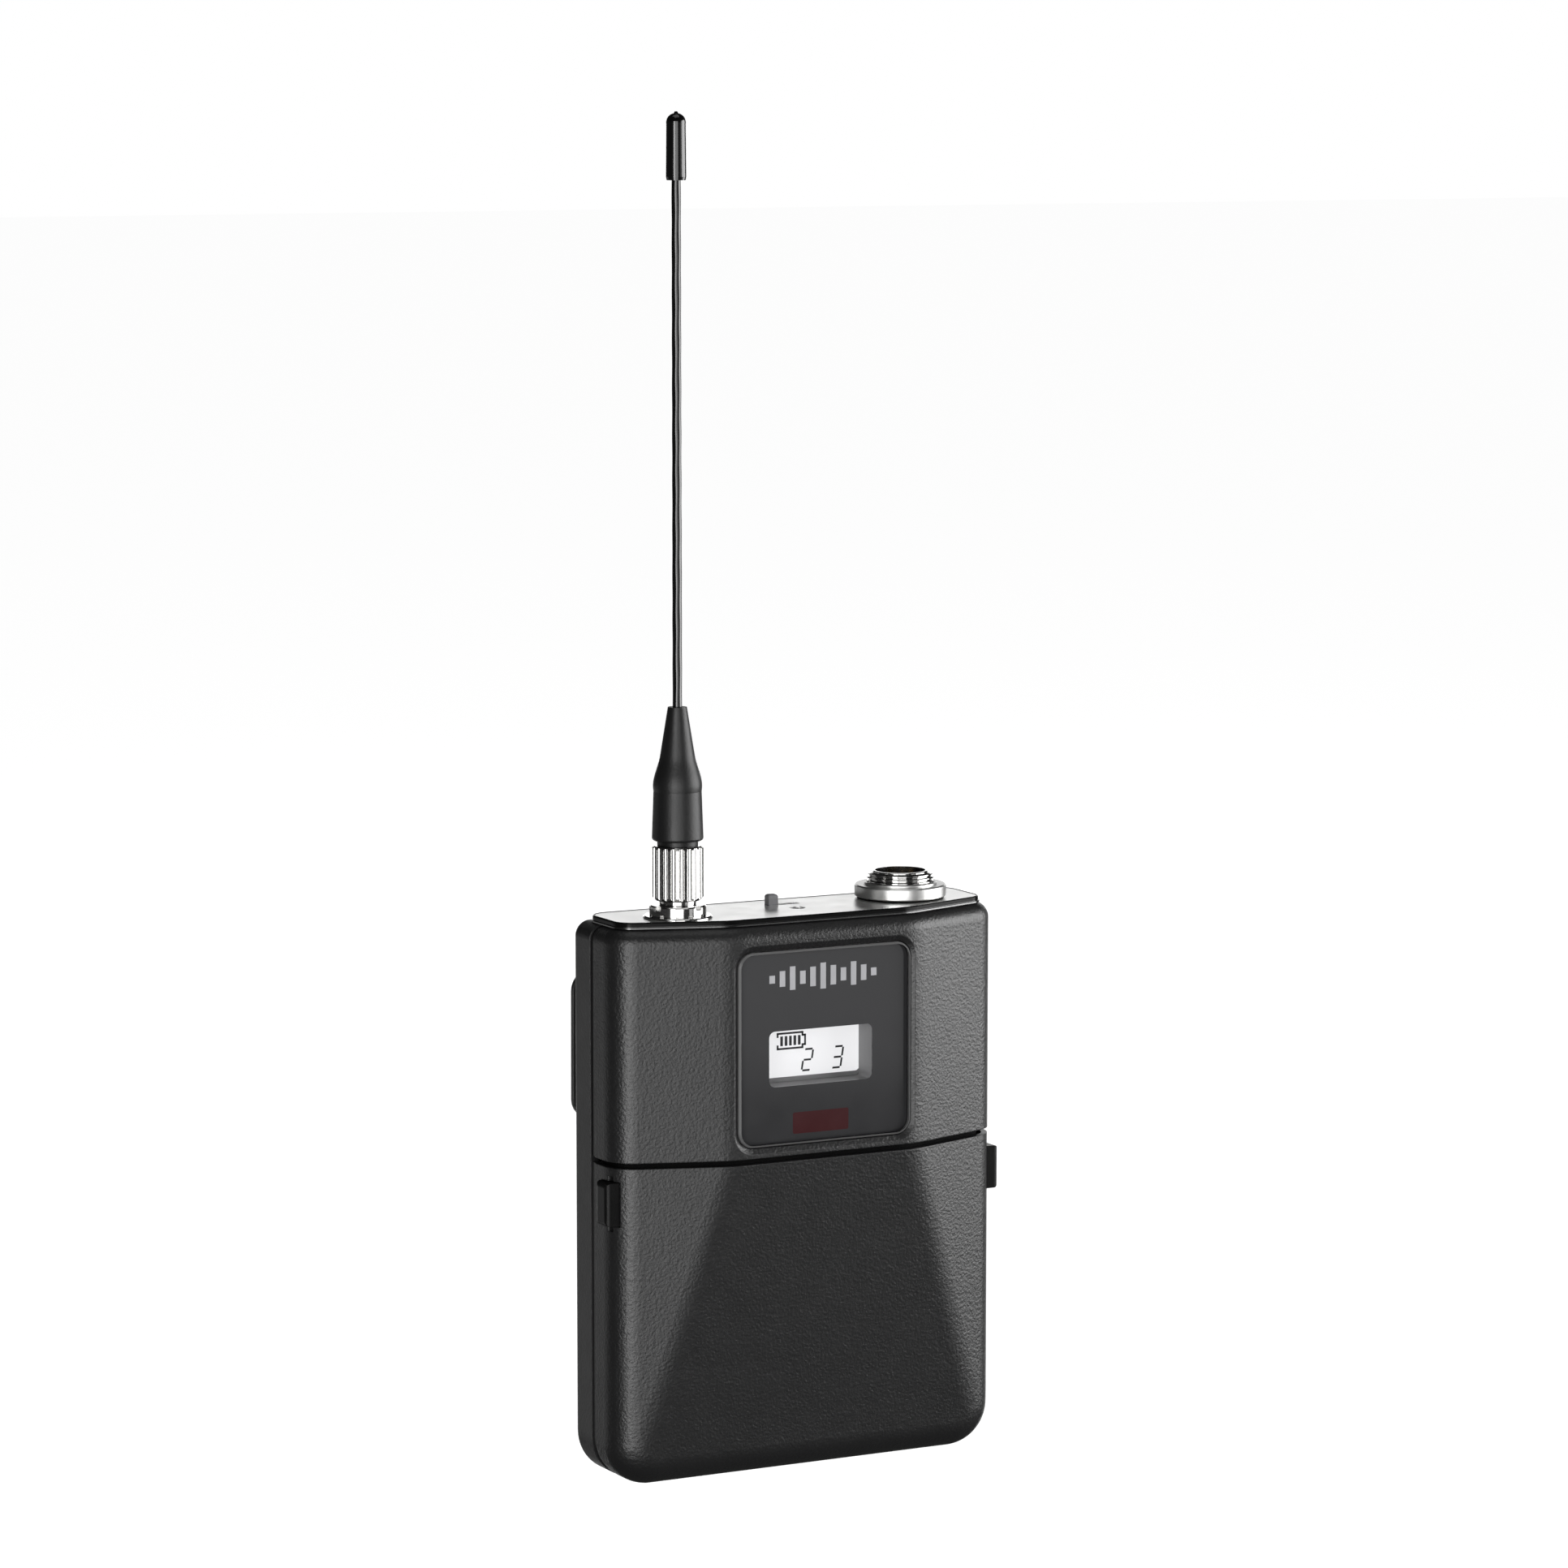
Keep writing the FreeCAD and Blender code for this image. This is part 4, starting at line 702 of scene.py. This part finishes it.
# ---- studio ------------------------------------------------------------------------------------
CASE_MIDDLE = Vector((0, 0, 55)) * MM
LIGHT_DISTANCE = 0.9
FLOOR_DROP = 26 * MM
FLOOR_REACH = 8.0
CAMERA_AIM = Vector((-1.96, 0, 106.03)) * MM
CAMERA_DISTANCE = 871.94 * MM
CAMERA_HEADING, CAMERA_LIFT = -27.87, 7.15
CAMERA_LENS, CAMERA_SENSOR = 131.28, 36.0


def stood(name, data, aim, heading, lift, distance):
    """New light or camera at a distance from a point, turned to look at it.

    heading is its compass angle in degrees seen from above: 0 stands in front of the display,
    90 to the right of it. lift is its angle above the level of the point.
    """
    turn, rise = math.radians(heading), math.radians(lift)
    away = Vector((math.sin(turn) * math.cos(rise), -math.cos(turn) * math.cos(rise),
                   math.sin(rise)))
    obj = bpy.data.objects.new(name, data)
    bpy.context.scene.collection.objects.link(obj)
    obj.location = aim + away * distance
    obj.rotation_mode = "QUATERNION"
    obj.rotation_quaternion = (-away).to_track_quat("-Z", "Y")
    return obj


def softbox(name, heading, lift, size, glow):
    """Rectangular light that faces the case; glow is its brightness, where 1 is paper white."""
    wide, tall = size
    data = bpy.data.lights.new(name, "AREA")
    data.shape = "RECTANGLE"
    data.size = wide
    data.size_y = tall
    data.energy = glow * math.pi * wide * tall
    light = stood(name, data, CASE_MIDDLE, heading, lift, LIGHT_DISTANCE)
    light.visible_camera = False


def softboxes():
    """Left, corner and right boxes draw the facets of the front; weaker ones light the rest."""
    softbox("left_softbox", -20, 0, (0.46, 0.80), 3.15)
    softbox("corner_softbox", -46, 0, (0.28, 0.80), 8.5)
    softbox("front_fill", 27, 1, (0.26, 0.34), 0.78)
    softbox("right_softbox", 65, 9, (0.82, 0.60), 7.4)
    softbox("back_panel", 152, 9, (0.90, 0.26), 1.75)
    softbox("left_side_panel", -147, -12, (0.60, 0.30), 0.48)
    softbox("top_softbox", 0, 88, (0.6, 0.6), 1.0)
    softbox("rear_softbox", 155, -18, (1.0, 0.34), 1.6)


def white_room():
    """White behind the object for the camera; a dim room, darker above, that lights it."""
    low_glow, high_glow = 0.06, 0.02
    below_horizon, above_horizon = -0.1, 0.25
    world = bpy.data.worlds.new("white_room")
    bpy.context.scene.world = world
    world.use_nodes = True
    tree = world.node_tree
    background = tree.nodes["Background"]
    background.inputs["Color"].default_value = (1, 1, 1, 1)
    place = tree.nodes.new("ShaderNodeTexCoord")
    height = coordinate(tree, place.outputs["Generated"], "Z")
    room = value_ramp(tree, height, low_glow, high_glow, below_horizon, above_horizon)
    path = tree.nodes.new("ShaderNodeLightPath")
    choose = tree.nodes.new("ShaderNodeMix")
    tree.links.new(path.outputs["Is Camera Ray"], choose.inputs["Factor"])
    tree.links.new(room, choose.inputs["A"])
    choose.inputs["B"].default_value = 1.0
    tree.links.new(choose.outputs["Result"], background.inputs["Strength"])


def camera_only(tree, unseen, seen):
    """Value that differs between what the camera looks at and what lights the object."""
    path = tree.nodes.new("ShaderNodeLightPath")
    return value_ramp(tree, path.outputs["Is Camera Ray"], unseen, seen, 0.0, 1.0)


def floor_finish():
    """Pale floor for the camera, glowing almost white; a dark one for the light it returns."""
    seen_glow, seen_tone, unseen_tone = 0.97, 0.3, 0.08
    material = surface("floor", (seen_tone,) * 3, 0.8, specular=0.1, grain=300,
                       grain_depth=0.1 * MM, grain_strength=0.05)
    tree = material.node_tree
    shader = tree.nodes["Principled BSDF"]
    shader.inputs["Emission Color"].default_value = (1, 1, 1, 1)
    tree.links.new(camera_only(tree, 0.0, seen_glow), shader.inputs["Emission Strength"])
    tone = tree.nodes.new("ShaderNodeCombineColor")
    for channel in ("Red", "Green", "Blue"):
        tree.links.new(camera_only(tree, unseen_tone, seen_tone), tone.inputs[channel])
    tree.links.new(tone.outputs["Color"], shader.inputs["Base Color"])
    return material


def floor_plane():
    """Floor with a faint tooth that meets the white background.

    It lies low enough for the open battery door to swing clear of it.
    """
    corners = [(x, z, 0) for x, z in bar(-FLOOR_REACH, -FLOOR_REACH, FLOOR_REACH, FLOOR_REACH)]
    floor = mesh_object("floor", corners, [(0, 1, 2, 3)], smooth=False)
    floor.location.z = -FLOOR_DROP
    floor.data.materials.append(floor_finish())
    floor.visible_glossy = False
    floor.visible_shadow = False


def camera():
    """Long lens from the front left, a little above the case."""
    data = bpy.data.cameras.new("camera")
    data.sensor_width = CAMERA_SENSOR
    data.lens = CAMERA_LENS
    data.clip_start = 0.05
    data.clip_end = 50
    bpy.context.scene.camera = stood("camera", data, CAMERA_AIM, CAMERA_HEADING, CAMERA_LIFT,
                                     CAMERA_DISTANCE)


def studio():
    """Plain colour handling, the white room, its lights and its floor."""
    view = bpy.context.scene.view_settings
    view.view_transform = "Standard"
    view.look = "None"
    white_room()
    softboxes()
    floor_plane()


finish_nodes()
display_marks()
display_border()
printed_films()
lens_mark()
antenna_whip()
springs()
clip_sheet()
studio()
camera()
